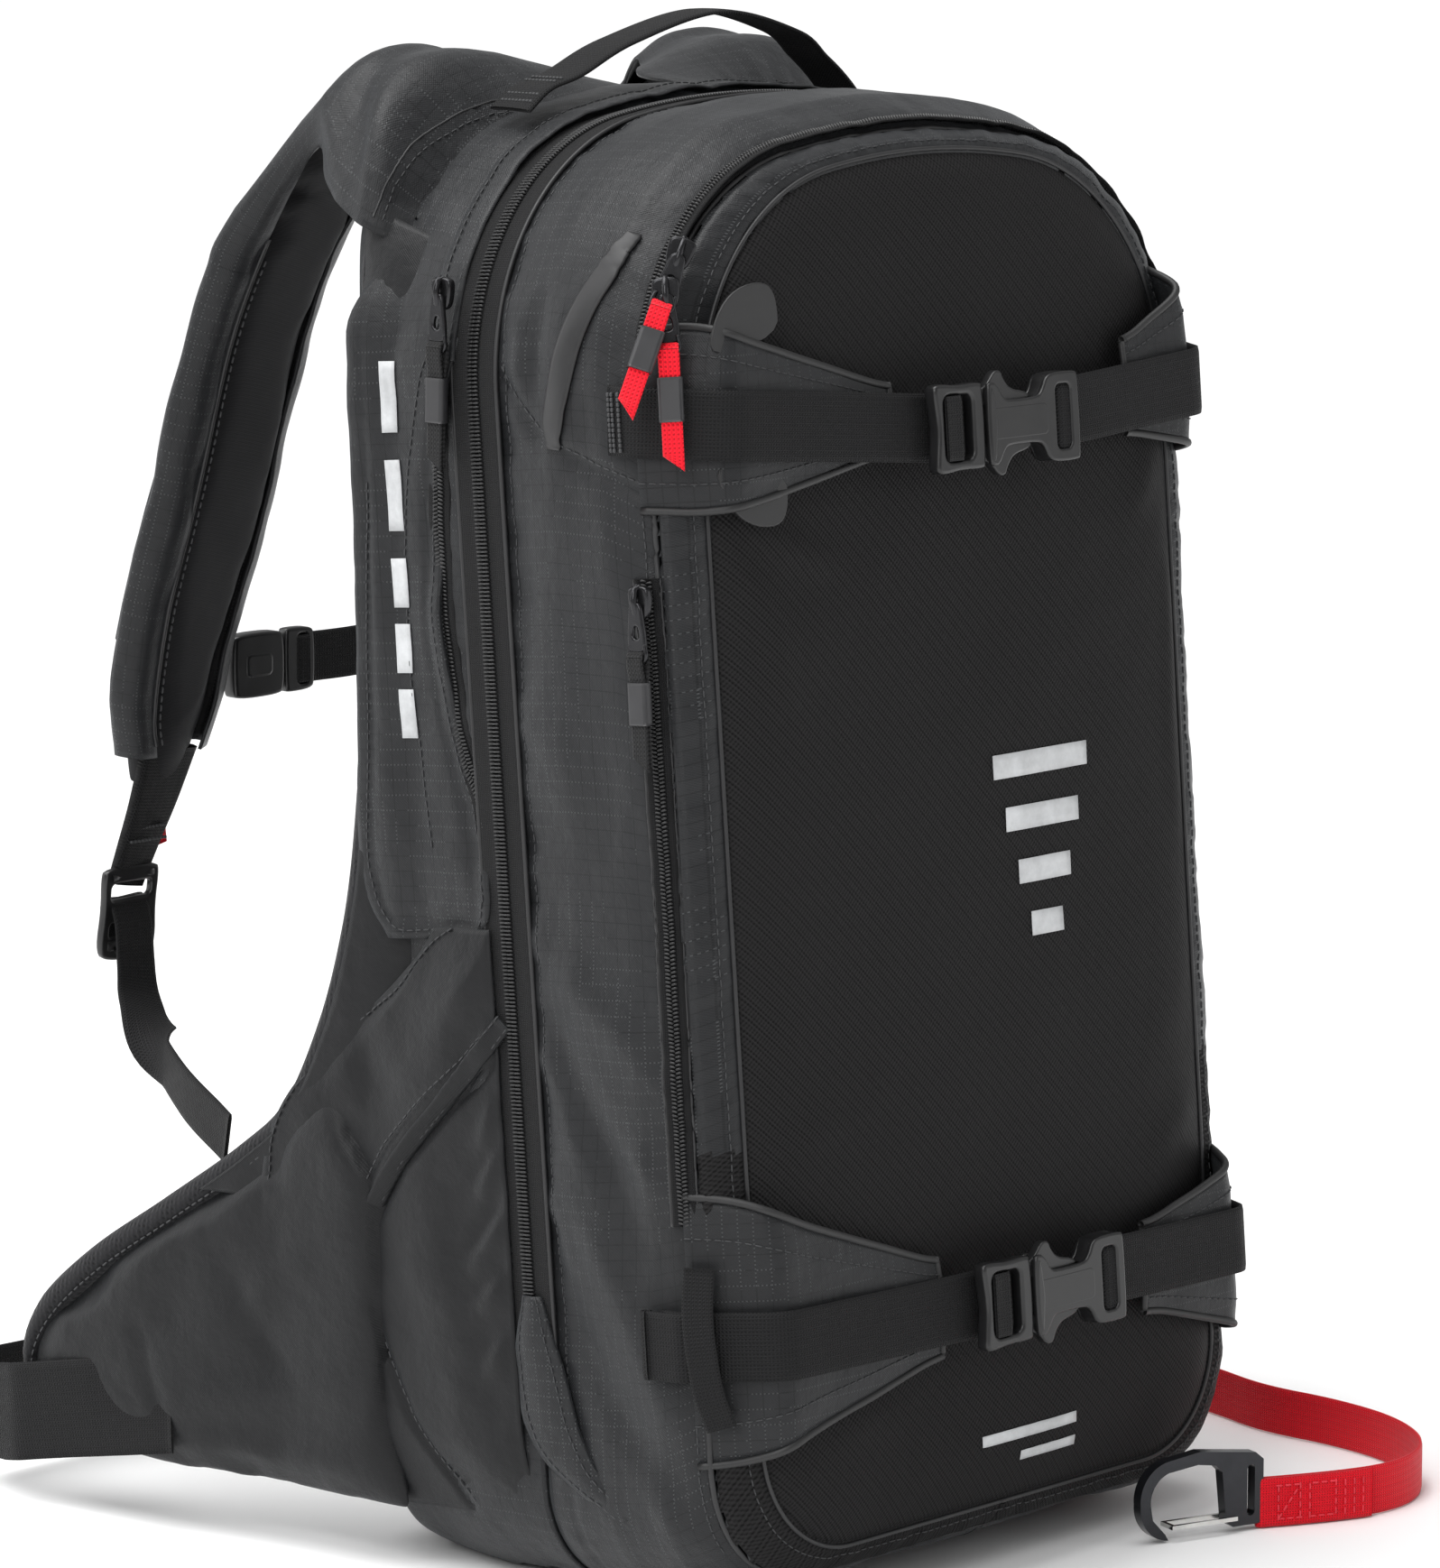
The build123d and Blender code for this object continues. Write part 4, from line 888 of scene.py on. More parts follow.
for face in pocket_gusset.data.polygons:
    face.material_index = int(unlean(np.array(face.center))[2] < 168)
gusset_normal = -normals_of(gusset_grid)
if (gusset_normal[7, 200] @ np.array([-1.0, 0, 0])) < 0:
    gusset_normal = -gusset_normal
on_gusset = surface_height(gusset_grid, gusset_normal)

# Ballistic panel: one sheet, row by row up its outline
PANEL_SHAPE = (127.4, 16, 518, CROWN * 127.4 / HALF_WIDTH, 88, 44)
outline = half_arch(*PANEL_SHAPE, counts=(2, 26, 130, 56, 30))[1:]
columns = np.linspace(-1, 1, 121)
columns = np.sign(columns) * (1 - (1 - np.abs(columns)) ** 1.25)

x = np.abs(outline[:, :1]) * columns[None]
v = np.broadcast_to(outline[:, 1:2], x.shape)
closed = full_arch(*PANEL_SHAPE)
edge_distance, _ = distance_to(np.stack([x, v], -1), np.concatenate([closed, closed[:1]])[::3])
PANEL_FOLDS = (
    (((-118, 398), (-96, 380), (-70, 372)), 7, 2.0), (((-120, 386), (-104, 352), (-96, 320)), 8, 1.6),
    (((-112, 476), (-80, 468)), 9, 1.2),
    (((112, 398), (96, 376)), 8, 1.6), (((120, 360), (117, 300), (119, 250)), 6, 1.4),
    (((-118, 160), (-100, 168), (-78, 172)), 8, 1.4),
    (((118, 150), (100, 140), (84, 118)), 8, 1.5), (((-60, 44), (0, 36), (60, 40)), 12, 1.4),
    (((-100, 60), (-60, 62)), 9, 1.2),
)
w = PANEL - 9.0 * (1 - np.exp(-edge_distance / 14)) - 1.6 * np.exp(-(x / 90) ** 2) * np.sin(np.clip((v - 16)
    / 502, 0, 1) * math.pi)
w -= fold_height(x, v, PANEL_FOLDS)
for strap_v in (420.5, 96.5):
    w += 1.6 * np.exp(-((v - strap_v) / 26) ** 2) * np.exp(-(x / 140) ** 4)
w -= (1.1 * noise_at(lean(x, -125, v), 90, 9.2) + 0.35
    * noise_at(lean(x, -125, v), 30, 4.2)) * smooth(edge_distance, 0, 12)
w += 1.2 * np.exp(-edge_distance / 1.6)
panel_grid = lean(x, w, v)
pocket_panel = shell("pocket_panel", panel_grid, np.stack([x, v], -1) * MM, 1.4, "ballistic", "booster",
    flip=normals_of(panel_grid)[80, 60][1] > 0)
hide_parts("front_panel")
panel_normal = normals_of(panel_grid)
if panel_normal[80, 60][1] > 0:
    panel_normal = -panel_normal
on_panel = surface_height(panel_grid, panel_normal)

# ---------------------------------------------------------------- seams, piping and stitching


def ring_path(shape, w):
    """Closed path in metres round the bag at a depth."""
    ring = full_arch(*shape)
    ring = np.concatenate([ring, ring[:1]])
    return lean(ring[:, 0], w, ring[:, 1])


def arch_path(shape, w, low):
    """Open path in metres up the left side, over the top and down the right side."""
    left = half_arch(*shape)
    left = left[(left[:, 1] >= low) & (left[:, 0] < -1)]
    ring = np.concatenate([left, [[0, shape[2]]], left[::-1] * (-1, 1)])
    return lean(ring[:, 0], w, ring[:, 1])


seam_ring, _ = on_front_bag(ring_path(at_depth(FRONT_RINGS, SEAM), SEAM + 0.6), 0.3)
rod("pocket_piping", seam_ring, 1.2, "piping", "booster", sides=8)
panel_ring = ring_path(PANEL_SHAPE, PANEL - 0.5)
rod("panel_piping", panel_ring, 0.9, "piping", "booster", sides=8)
path, up = on_gusset(ring_path(at_depth(GUSSET_RINGS, -115.6), -115.6)[::1], 0.1)
stitches("gusset_stitching", path, up, "booster", height=0.5, width=0.5)
path, up = on_front_bag(arch_path(at_depth(FRONT_RINGS, -41.5), -41.5, 60), 0.1)
stitches("front_bag_stitching", path, up, "booster", height=0.5, width=0.5)
path, up = on_front_bag(arch_path(at_depth(FRONT_RINGS, -103.5), -103.5, 20), 0.1)
stitches("front_bag_seam_stitching", path, up, "booster", height=0.5, width=0.5)


def side_path(points, skin, side=-1, lift=0.2, step=2.0, half=HALF_WIDTH):
    """Path on a bag's side through (depth, height) points, on its skin."""
    p = spline(np.asarray(points, float), step)
    return skin(lean(np.full(len(p), side * half), p[:, 0], p[:, 1]), lift)


for side, tag in ((-1, "left"), (1, "right")):
    path, up = side_path([(a, b + 3.2) for a, b in DIAGONAL], on_front_bag, side)
    stitches(f"diagonal_stitching_{tag}", path, up, "booster", height=0.5, width=0.5)

# ---------------------------------------------------------------- coil zips


def coil_zip(name, path, up, side, tape, body, pitch=1.45, reach=3.1, rows=(-1, 1), lift=0.6):
    """Woven tape with coil teeth along a path; side is the direction across, away from the middle."""
    path, up, side = (np.asarray(a, float) for a in (path, up, side))
    up = unit(np.broadcast_to(up, path.shape))
    side = unit(np.broadcast_to(side, path.shape))
    gaps = np.r_[0, np.cumsum(np.linalg.norm(np.diff(path, axis=0), axis=1))]
    run = unit(np.gradient(path, axis=0))
    low, high = tape
    middle = path + side * (low + high) / 2 * MM
    ribbon(f"{name}_tape", middle, side, high - low, 0.9, "zip_tape", body)
    places, alongs, ups = [], [], []
    for row in rows:
        even = np.arange((0.5 + 0.5 * (row > 0)) * pitch * MM, gaps[-1], pitch * MM)
        at = np.stack([np.interp(even, gaps, path[:, k]) for k in range(3)], -1)
        u = unit(np.stack([np.interp(even, gaps, up[:, k]) for k in range(3)], -1))
        a = unit(np.stack([np.interp(even, gaps, side[:, k]) for k in range(3)], -1))
        r = unit(np.stack([np.interp(even, gaps, run[:, k]) for k in range(3)], -1))
        places.append(at + a * row * reach * 0.42 * MM + u * lift * MM)
        alongs.append(unit(r + 0.22 * row * a))
        ups.append(u)
    scatter(f"{name}_teeth", np.concatenate(places), np.concatenate(alongs), np.concatenate(ups),
        (pitch * 0.62, reach, 1.7), "coil", body, taper=0.7)


ZIP_SHAPE = (HALF_WIDTH + 2.4, 0, CREST + 2.4, CROWN, CORNER + 2.4, FOOT)
depth_axis = unit(lean(0, 1, 0) - lean(0, 0, 0))
for name, body, sign in (("split_zip_front", "booster", -1), ("split_zip_rear", "harness", 1)):
    path = arch_path(ZIP_SHAPE, SPLIT + sign * 1.2, 62)
    run = unit(np.gradient(path, axis=0))
    outward = np.cross(run, depth_axis)
    middle = lean(0, SPLIT, 260)
    outward *= np.sign(((path - middle) * outward).sum(-1, keepdims=True))
    coil_zip(name, path, outward, depth_axis * sign, (-0.9, 10.0), body, rows=(0.001,), reach=3.4, lift=0.9)
    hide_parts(name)
    rod(f"{name}_lip", arch_path(ZIP_SHAPE, SPLIT + sign * 11.2, 60), 0.9, "piping", body, sides=8)

# Pocket zip over the front arch, between the bag and its gusset
path = arch_path((145, 0, 528.5, CROWN, CORNER, FOOT), SEAM + 3.6, 458)
path, outward = on_front_bag(path, 1.2)
coil_zip("pocket_zip", path, outward, depth_axis, (-4.6, 5.6), "booster", reach=2.6)
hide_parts("pocket_zip")

# Welded zip: a smooth coated ridge on the upper sides
for side, tag in ((-1, "left"), (1, "right")):
    path, up = side_path(((-65.5, 420), (-71, 446), (-80, 471), (-91, 495), (-101, 509)), on_front_bag, side,
        0.7)
    ribbon(f"welded_zip_{tag}", path, np.cross(up, np.gradient(path, axis=0)),
        np.interp(np.linspace(0, 1, len(path)), [0, 0.1, 0.7, 1], [7, 11, 11, 6]), 1.0, "piping", "booster",
        crown=0.5)

# Side zip of the pocket, with its own opening, left side only
path, up = side_path(((-104.5, 374), (-104.8, 330), (-105, 280), (-105, 220), (-104.5, 142)), on_front_bag,
    -1, 0.9)
across = unit(np.cross(up, np.gradient(path, axis=0)))
coil_zip("side_zip", path, up, across, (-4.6, 4.6), "booster", reach=2.4)
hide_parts("side_zip")
for k, edge in enumerate((-4.9, 4.9)):
    rod(f"side_zip_lip_{k}", path + across * edge * MM - up * 0.4 * MM, 0.6, "piping", "booster", sides=8)

# ---------------------------------------------------------------- ski wings and straps

WING_ROUTE = ((-146.6, -104.5), (-127.6, -133), (-78, -133.4), (-44, -133.6))
WING_CORNER = 430  # above this the bag's corner turns in, and the wings with it


def bag_route(route, radius=11, step=2.5, mirror=False):
    p = rounded(route, radius, step)
    return p * (-1, 1) if mirror else p


def ski_wing(name, route, mirror, low, high):
    """Tapered reinforced flap; low and high give its edges as (distance along, height)."""
    p = bag_route(route, mirror=mirror)
    along = arc_length(p)
    bottom = np.interp(along, *zip(*low))
    top = np.interp(along, *zip(*high))
    bottom = np.convolve(np.pad(bottom, 4, mode="edge"), np.ones(9) / 9, "valid")
    top = np.convolve(np.pad(top, 4, mode="edge"), np.ones(9) / 9, "valid")
    share = np.linspace(0, 1, 29)
    v = bottom[:, None] + (top - bottom)[:, None] * share[None]
    inset = 7.0 * (np.maximum(0, v - WING_CORNER) / 30) ** 2 * (1 - smooth(along, 10, 50))[:, None]
    x = np.broadcast_to(p[:, :1], v.shape) + (inset if p[0, 0] < 0 else -inset)
    w = np.broadcast_to(p[:, 1:], v.shape)
    grid = lean(x, w, v)
    outward = unit(np.cross(np.gradient(grid, axis=1), np.gradient(grid, axis=0)))
    if outward[-3, 14][1] > 0:
        outward = -outward
    edge = np.minimum(share, 1 - share)[None] * (top - bottom)[:, None]
    lift = 0.5 * noise_at(grid, 26, 1.1 + low[0][1]) + 0.9 * smooth(edge, 0, 10) - 0.5
    flare = smooth(along, along[-1] - 70, along[-1])[:, None] * (0.8 * noise_at(grid, 34, 7.7))
    grid = grid + outward * (lift + flare)[..., None] * MM
    normals = normals_of(grid)
    flip = (normals[len(p) // 2, 14] @ outward[len(p) // 2, 14]) < 0
    wing = shell(name, grid, np.stack([np.broadcast_to(along[:, None], v.shape), v], -1) * MM, 1.8, "ripstop",
        "booster", flip=flip)
    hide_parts(name.replace("_cloth", ""))
    for place, row, sign in (("top", -1, 1), ("low", 0, -1)):
        edge_path = grid[:, row] - outward[:, row] * 0.5 * MM
        rod(f"{name}_{place}_binding", edge_path + (grid[:, row] - grid[:, row - sign]) * 0.35, 1.5, "rubber",
            "booster", sides=10)
        inner = grid[:, row - 4 * sign if row else 4]
        stitches(f"{name}_{place}_stitching", inner + outward[:, row] * 0.1 * MM, outward[:, 14], "booster",
            height=0.5, width=0.5)
    tip = grid[-1]
    rod(f"{name}_tip_binding", tip - outward[-1] * 0.5 * MM, 1.3, "rubber", "booster", sides=10,
        up=outward[-1, 14])
    return grid, outward


ski_wing("ski_wing_upper_left_cloth", WING_ROUTE, False, ((0, 399), (24, 397), (50, 400), (118, 412)),
    ((0, 462), (24, 461), (44, 455), (118, 433)))
ski_wing("ski_wing_upper_right_cloth", (*WING_ROUTE[:2], (-88, -133.4)), True,
    ((0, 398), (24, 400), (76, 409)), ((0, 468), (24, 463), (44, 453), (76, 439)))
ski_wing("ski_wing_lower_left_cloth", WING_ROUTE, False, ((0, 56), (22, 58), (48, 66), (122, 82)),
    ((0, 152), (24, 149), (46, 139), (122, 112)))
ski_wing("ski_wing_lower_right_cloth", (*WING_ROUTE[:2], (-72, -133.4)), True, ((0, 58), (26, 61), (84, 77)),
    ((0, 128), (26, 125), (46, 118), (84, 109)))

# Rubbery tabs behind the upper wings
tab_outline = soften([(-17, -6), (-17, 8), (-12, 15), (2, 16), (12, 9), (17, -6)], 2)
for place, v, turn in (("top", 459, 1), ("low", 406, -1)):
    outline = [(-a, b * turn) for a, b in tab_outline]
    plate(f"wing_tab_{place}", outline[::turn], [], 1.3, 0.5, lean(-117, -130.6, v),
        unit(lean(1, -0.12, 0.20 * turn) - lean(0, 0, 0)), unit(lean(0, 0, 1) - lean(0, 0, 0)), "rubber",
        "booster")

STRAP_ROUTE = ((-148.8, -94), (-150.6, -105.2), (-130.0, -136.6), (-24, -137))
UPPER_V, LOWER_V = 417.5, 96.5
up_bag = unit(lean(0, 0, 1) - lean(0, 0, 0))


def ski_strap(name, mirror, height, rise, end):
    p = bag_route((*STRAP_ROUTE[:3], (-end, -137)), 12, 3, mirror)
    along = arc_length(p) / arc_length(p)[-1]
    v = height + rise * (1 - along)
    path = lean(p[:, 0], p[:, 1], v)
    strap = ribbon(f"{name}_webbing", path, up_bag, 25, 1.5, "black_webbing", "booster", edge=0.6)
    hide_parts(name)
    return path


ski_strap("ski_strap_upper_left", False, UPPER_V, 13, 22)
ski_strap("ski_strap_upper_right", True, UPPER_V, 10, 38)
ski_strap("ski_strap_lower_left", False, LOWER_V, 3.0, 22)
ski_strap("ski_strap_lower_right", True, LOWER_V, -2, 38)

# Bar tacks where the upper straps are sewn to the bag's sides
for side, tag in ((-1, "left"), (1, "right")):
    for k, w in enumerate((-95.5, -97.5, -101)):
        line = lean(np.full(14, side * (150.0 - 0.16 * (w + 96))), np.full(14, w),
            UPPER_V + (12.5 if side < 0 else 9.5) + np.linspace(-11, 11, 14))
        stitches(f"strap_tack_{tag}_{k}", line, (side, 0, 0), "booster", length=1.6, gap=0.2, height=1.0,
            width=1.2)

# Folded tail of the lower left strap, and the keeper that holds it
path = lean(-153.6 + 9 * smooth(-np.linspace(-116, -90, 16), 104, 116) * 0.8, np.linspace(-116, -90, 16),
    np.full(16, 99.5))
ribbon("strap_tail_outer", path, up_bag, 25, 1.5, "black_webbing", "booster")
bend = [lean(-153.2 + 1.6 * math.cos(a), -90 + 2.2 * math.sin(a), 99.5)
    for a in np.linspace(-0.4, math.pi + 0.3, 9)]
ribbon("strap_tail_fold", np.array(bend), up_bag, 25, 1.4, "black_webbing", "booster")
path = lean(np.array([-147.6, -150.4, -151.2, -149.6, -146.0]), np.array([-112, -112.5, -114, -115, -117]),
    np.array([128, 112, 98, 83, 70]))
ribbon("strap_keeper", spline(path, 0.003), (-0.45, 0.89, 0.0), 11.5, 1.3, "black_webbing", "booster",
    edge=0.6)

# ---------------------------------------------------------------- side-release buckles


def strap_loop(name, centre, x_axis, y_axis, out_axis, width, reach, body):
    """Webbing folded round a bar: a short padded loop seen through the frame."""
    turn = np.linspace(-0.5 * math.pi, 0.5 * math.pi, 9)
    path = [centre - x_axis * reach * MM * 1.1 - out_axis * 2.6 * MM]
    path += [centre + x_axis * (math.cos(a) * 2.9 * MM + 0.2 * MM) + out_axis * math.sin(a) * 2.7 * MM
        for a in turn]
    path.append(centre - x_axis * reach * MM * 0.9 + out_axis * 2.3 * MM)
    ribbon(name, np.array(path), y_axis, width, 1.5, "black_webbing", body, edge=0.6)


def buckle(prefix, centre, x_axis, up_axis, height, depth, webbing_width, body, nodes_replaced):
    """Side-release buckle; x runs from the male half's webbing to the female half's."""
    x_axis, up_axis = unit(np.asarray(x_axis, float)), unit(np.asarray(up_axis, float))
    out_axis = np.cross(x_axis, up_axis)
    at = lambda x, y=0, z=0: np.asarray(centre, float) + (x * x_axis + y * up_axis + z * out_axis) * MM
    h = height / 2
    frame_outline = soften([(-33.6, h * 0.62), (-34.2, h * 0.95), (-30, h), (-21, h * 0.93), (-10, h * 0.96),
        (-7.2, h * 0.9), (-7.2, -h * 0.9), (-10, -h * 0.96), (-21, -h * 0.93), (-30, -h), (-34.2, -h * 0.95),
        (-33.6, -h * 0.62), (-32.2, 0)], 2)
    window = round_rect(-29.2, -h + 4.6, -13.6, h - 4.6, 3)
    male = plate(f"{prefix}_male_frame", frame_outline, [window], depth * 0.62, 1.5, at(0, 0, 0.2), x_axis,
        up_axis, "buckle_plastic", body)
    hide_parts(nodes_replaced[0])
    strap_loop(f"{prefix}_male_loop", at(-22.5, 0, 0.6), x_axis, up_axis, out_axis, webbing_width - 1.5, 6.5,
        body)
    rod(f"{prefix}_male_bar", np.array([at(-22.5, -h + 4, 0.6), at(-22.5, 0, 0.6), at(-22.5, h - 4, 0.6)]),
        1.7, "buckle_plastic", body, sides=10, up=out_axis)
    for sign, place in ((1, "top"), (-1, "low")):
        arm = soften([(-9, sign * (h - 9)), (-8, sign * (h - 3.5)), (-4, sign * (h - 2.2)),
            (0.5, sign * (h + 2.8)), (4.0, sign * (h + 2.6)), (5.2, sign * (h - 0.5)), (9, sign * (h - 4.5)),
            (17, sign * (h - 5.8)), (20, sign * (h - 8)), (16, sign * (h - 9.5)), (4, sign * (h - 9)),
            (-2, sign * (h - 10))], 2)
        plate(f"{prefix}_prong_{place}", arm if sign > 0 else arm[::-1], [], depth * 0.42, 0.8, at(0, 0, 0),
            x_axis, up_axis, "buckle_plastic", body)
    body_outline = soften([(-6.6, h * 0.86), (-4.6, h * 0.93), (-1.5, h * 0.9), (2.2, h * 0.55),
        (5, h * 0.50), (21, h * 0.50), (24, h * 0.62), (26.5, h * 0.93), (31, h), (42.5, h), (44.2, h * 0.92),
        (44.2, -h * 0.92), (42.5, -h), (31, -h), (26.5, -h * 0.93), (24, -h * 0.62), (21, -h * 0.50),
        (5, -h * 0.50), (2.2, -h * 0.55), (-1.5, -h * 0.9), (-4.6, -h * 0.93), (-6.6, -h * 0.86)], 2)
    slot = round_rect(31.2, -h + 4.6, 39.6, h - 4.6, 2.4)
    female = plate(f"{prefix}_female_face", body_outline, [slot], depth * 0.26, 1.0, at(0, 0, depth * 0.34),
        x_axis, up_axis, "buckle_plastic", body)
    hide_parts(nodes_replaced[1])
    plate(f"{prefix}_female_back", body_outline, [slot], depth * 0.24, 0.9, at(0, 0, -depth * 0.34), x_axis,
        up_axis, "buckle_plastic", body)
    for sign, place in ((1, "top"), (-1, "low")):
        rail = soften([(20.5, sign * h * 0.47), (24, sign * h * 0.6), (26.5, sign * h * 0.93), (31, sign * h),
            (43, sign * h), (44.2, sign * h * 0.7), (40, sign * (h - 4.4)), (31, sign * (h - 4.4)),
            (28, sign * h * 0.4)], 2)
        plate(f"{prefix}_female_rail_{place}", rail if sign > 0 else rail[::-1], [], depth * 0.9, 1.1,
            at(0, 0, 0), x_axis, up_axis, "buckle_plastic", body)
    core = round_rect(-6.2, -h * 0.40, 27, h * 0.40, 3)
    plate(f"{prefix}_female_core", core, [], depth * 0.92, 1.2, at(0, 0, 0.15), x_axis, up_axis,
        "buckle_plastic", body)
    ridge = soften([(-6.4, h * 0.84), (-3.2, h * 0.84), (-2.4, h * 0.4), (-1.6, 0), (-2.4, -h * 0.4),
        (-3.2, -h * 0.84), (-6.4, -h * 0.84)], 2)
    plate(f"{prefix}_female_ridge", ridge, [], depth * 0.98, 1.2, at(0, 0, 0), x_axis, up_axis,
        "buckle_plastic", body)
    strap_loop(f"{prefix}_female_loop", at(35.6, 0, 0.4), -x_axis, up_axis, out_axis, webbing_width - 1.0,
        5.5, body)
    rod(f"{prefix}_female_bar", np.array([at(35.6, -h + 4, 0.4), at(35.6, 0, 0.4), at(35.6, h - 4, 0.4)]),
        1.7, "buckle_plastic", body, sides=10, up=out_axis)


x_bag = np.array([1.0, 0, 0])
for place, v in (("upper", UPPER_V), ("lower", LOWER_V)):
    buckle(f"{place}_ski_buckle", lean(0, -143.4, v), x_bag, up_bag, 33, 9.4, 25, "booster",
        (f"ski_buckle_{place}_male", f"ski_buckle_{place}_female"))

# ---------------------------------------------------------------- zip pulls


def zip_pull(prefix, body, top, down, out, length, material, replaced, tilt_out=0.0):
    """Slider, wire bail, folded webbing with a heat-shrunk sleeve, cut at a slant."""
    down, out = unit(np.asarray(down, float)), unit(np.asarray(out, float))
    side = np.cross(out, down)
    top = np.asarray(top, float)
    at = lambda d, a=0.0, o=0.0: top + (down * d + side * a + out * (o + tilt_out * d / length)) * MM
    # slider body with its bridge
    nose = soften([(-5.2, 2), (-4.4, 6), (4.4, 6), (5.2, 2), (3.6, -6), (-3.6, -6)], 2)
    slider = plate(f"{prefix}_slider", nose, [], 3.4, 1.0, at(0, 0, -0.4), side, -down, "metal_black", body)
    rod(f"{prefix}_slider_bridge", np.array([at(-5.5, 0, 0.4), at(-4.6, 0, 2.4), at(-1, 0, 3.3),
        at(3.4, 0, 2.6), at(4.8, 0, 0.6)]), 1.3, "metal_black", body, sides=10, up=side)
    tongue = soften([(-2.6, 3.6), (2.6, 3.6), (3.4, -2), (4.3, -9), (4.1, -14.5), (-4.1, -14.5), (-4.3, -9),
        (-3.4, -2)], 2)
    hole = [(a * 0.5, b * 0.5 - 6.4) for a, b in soften([(-2.4, 3), (2.4, 3), (3.6, -6), (-3.6, -6)], 2)]
    plate(f"{prefix}_tongue", tongue, [hole], 2.0, 0.8, at(3.2, 0, 2.2), side, -down, "metal_black", body)
    bail = [at(14.4, 3.4, 2.2), at(18.4, 4.0, 2.2), at(20.6, 2.4, 2.2), at(21.2, 0, 2.2), at(20.6, -2.4, 2.2),
        at(18.4, -4.0, 2.2), at(14.4, -3.4, 2.2)]
    rod(f"{prefix}_bail", spline(bail, 0.0008), 0.85, "metal_black", body, sides=8, up=out)
    w = 7.4
    start, sleeve, sleeve_end = 19.2, length * 0.52, length * 0.80
    for k, sign in enumerate((-1, 1)):
        path = np.array([at(start, 0, 2.2 + sign * 1.9), at(start + 4, 0, 2.2 + sign * 1.7),
            at(sleeve, 0, 2.2 + sign * 0.8), at(sleeve_end, 0, 2.2 + sign * 0.7),
            at(length + (6 if sign > 0 else 4.5), 0, 2.2 + sign * 0.8)])
        path = spline(path, 0.001)
        widths = np.full(len(path), w)
        piece = ribbon(f"{prefix}_webbing_{k}", path, side, widths, 1.1, material, body, edge=0.6)
        mesh = piece.data
        # slanted end
        for vertex in mesh.vertices:
            d = (np.array(vertex.co) - top) @ down / MM
            a = (np.array(vertex.co) - top) @ side / MM
            if d > length:
                keep = length + (d - length) * np.clip(0.5 + a / w, 0.05, 1)
                vertex.co = vertex.co + Vector(down * (keep - d) * MM)
    turn = np.linspace(0, math.pi, 7)
    loop = np.array([at(start - 1.9 * math.sin(a) * 0.9, 0, 2.2 - 1.9 * math.cos(a)) for a in turn])
    ribbon(f"{prefix}_webbing_fold", loop, side, w, 1.1, material, body, edge=0.6)
    cover = spline(np.array([at(sleeve, 0, 2.2), at((sleeve + sleeve_end) / 2, 0, 2.2),
        at(sleeve_end, 0, 2.2)]), 0.001)
    ribbon(f"{prefix}_sleeve", cover, side, w + 1.5, 4.2, "sleeve", body, edge=0.5, crown=0.0)
    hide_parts(replaced)


down_bag = -up_bag
left_out = np.array([-1.0, 0, 0])
CORNER_FACE = math.radians(40)
corner_out = np.array([-math.cos(CORNER_FACE), -math.sin(CORNER_FACE) * COS, math.sin(CORNER_FACE) * SIN])
corner_back = np.array([-math.sin(CORNER_FACE), math.cos(CORNER_FACE), 0])


def corner_point(out, shift, v):
    """Point over the left front corner: distance out from the bag's middle, shift to the back, height."""
    return lean(-math.cos(CORNER_FACE) * out - math.sin(CORNER_FACE) * shift,
        -math.sin(CORNER_FACE) * out + math.cos(CORNER_FACE) * shift, v)


zip_pull("upper_red_pull", "upper_pull", corner_point(177, -4.8, 487.5),
    down_bag * math.cos(math.radians(21)) + corner_back * math.sin(math.radians(21)), corner_out, 53,
    "red_pull", "pocket_zip_pull_upper", 20)
zip_pull("lower_red_pull", "lower_pull", corner_point(183, 0.4, 474), down_bag, corner_out, 56, "red_pull",
    "pocket_zip_pull_lower", 8)
zip_pull("airbag_pull_strap", "airbag_pull", lean(-151.6, -17, 477), lean(0, 5, -56) - lean(0, 0, 0),
    left_out, 58, "black_pull", "airbag_zip_pull", 1.0)
zip_pull("side_pull_strap", "side_slider", lean(-149.9, -104.6, 366), down_bag, left_out, 54, "black_pull",
    "side_zip_pull", 1.0)

# ---------------------------------------------------------------- padded pieces by cloth simulation


def points_of(obj):
    """The mesh's points as an array, in metres."""
    flat = np.zeros(len(obj.data.vertices) * 3)
    obj.data.vertices.foreach_get("co", flat)
    return flat.reshape(-1, 3)


def set_points(obj, points):
    obj.data.vertices.foreach_set("co", np.ascontiguousarray(points).ravel())
    obj.data.update()


def bake(obj):
    """The object's mesh becomes what its modifiers give."""
    bpy.context.view_layer.update()
    made = bpy.data.meshes.new_from_object(obj.evaluated_get(bpy.context.evaluated_depsgraph_get()))
    old = obj.data
    obj.modifiers.clear()
    obj.data = made
    bpy.data.meshes.remove(old)


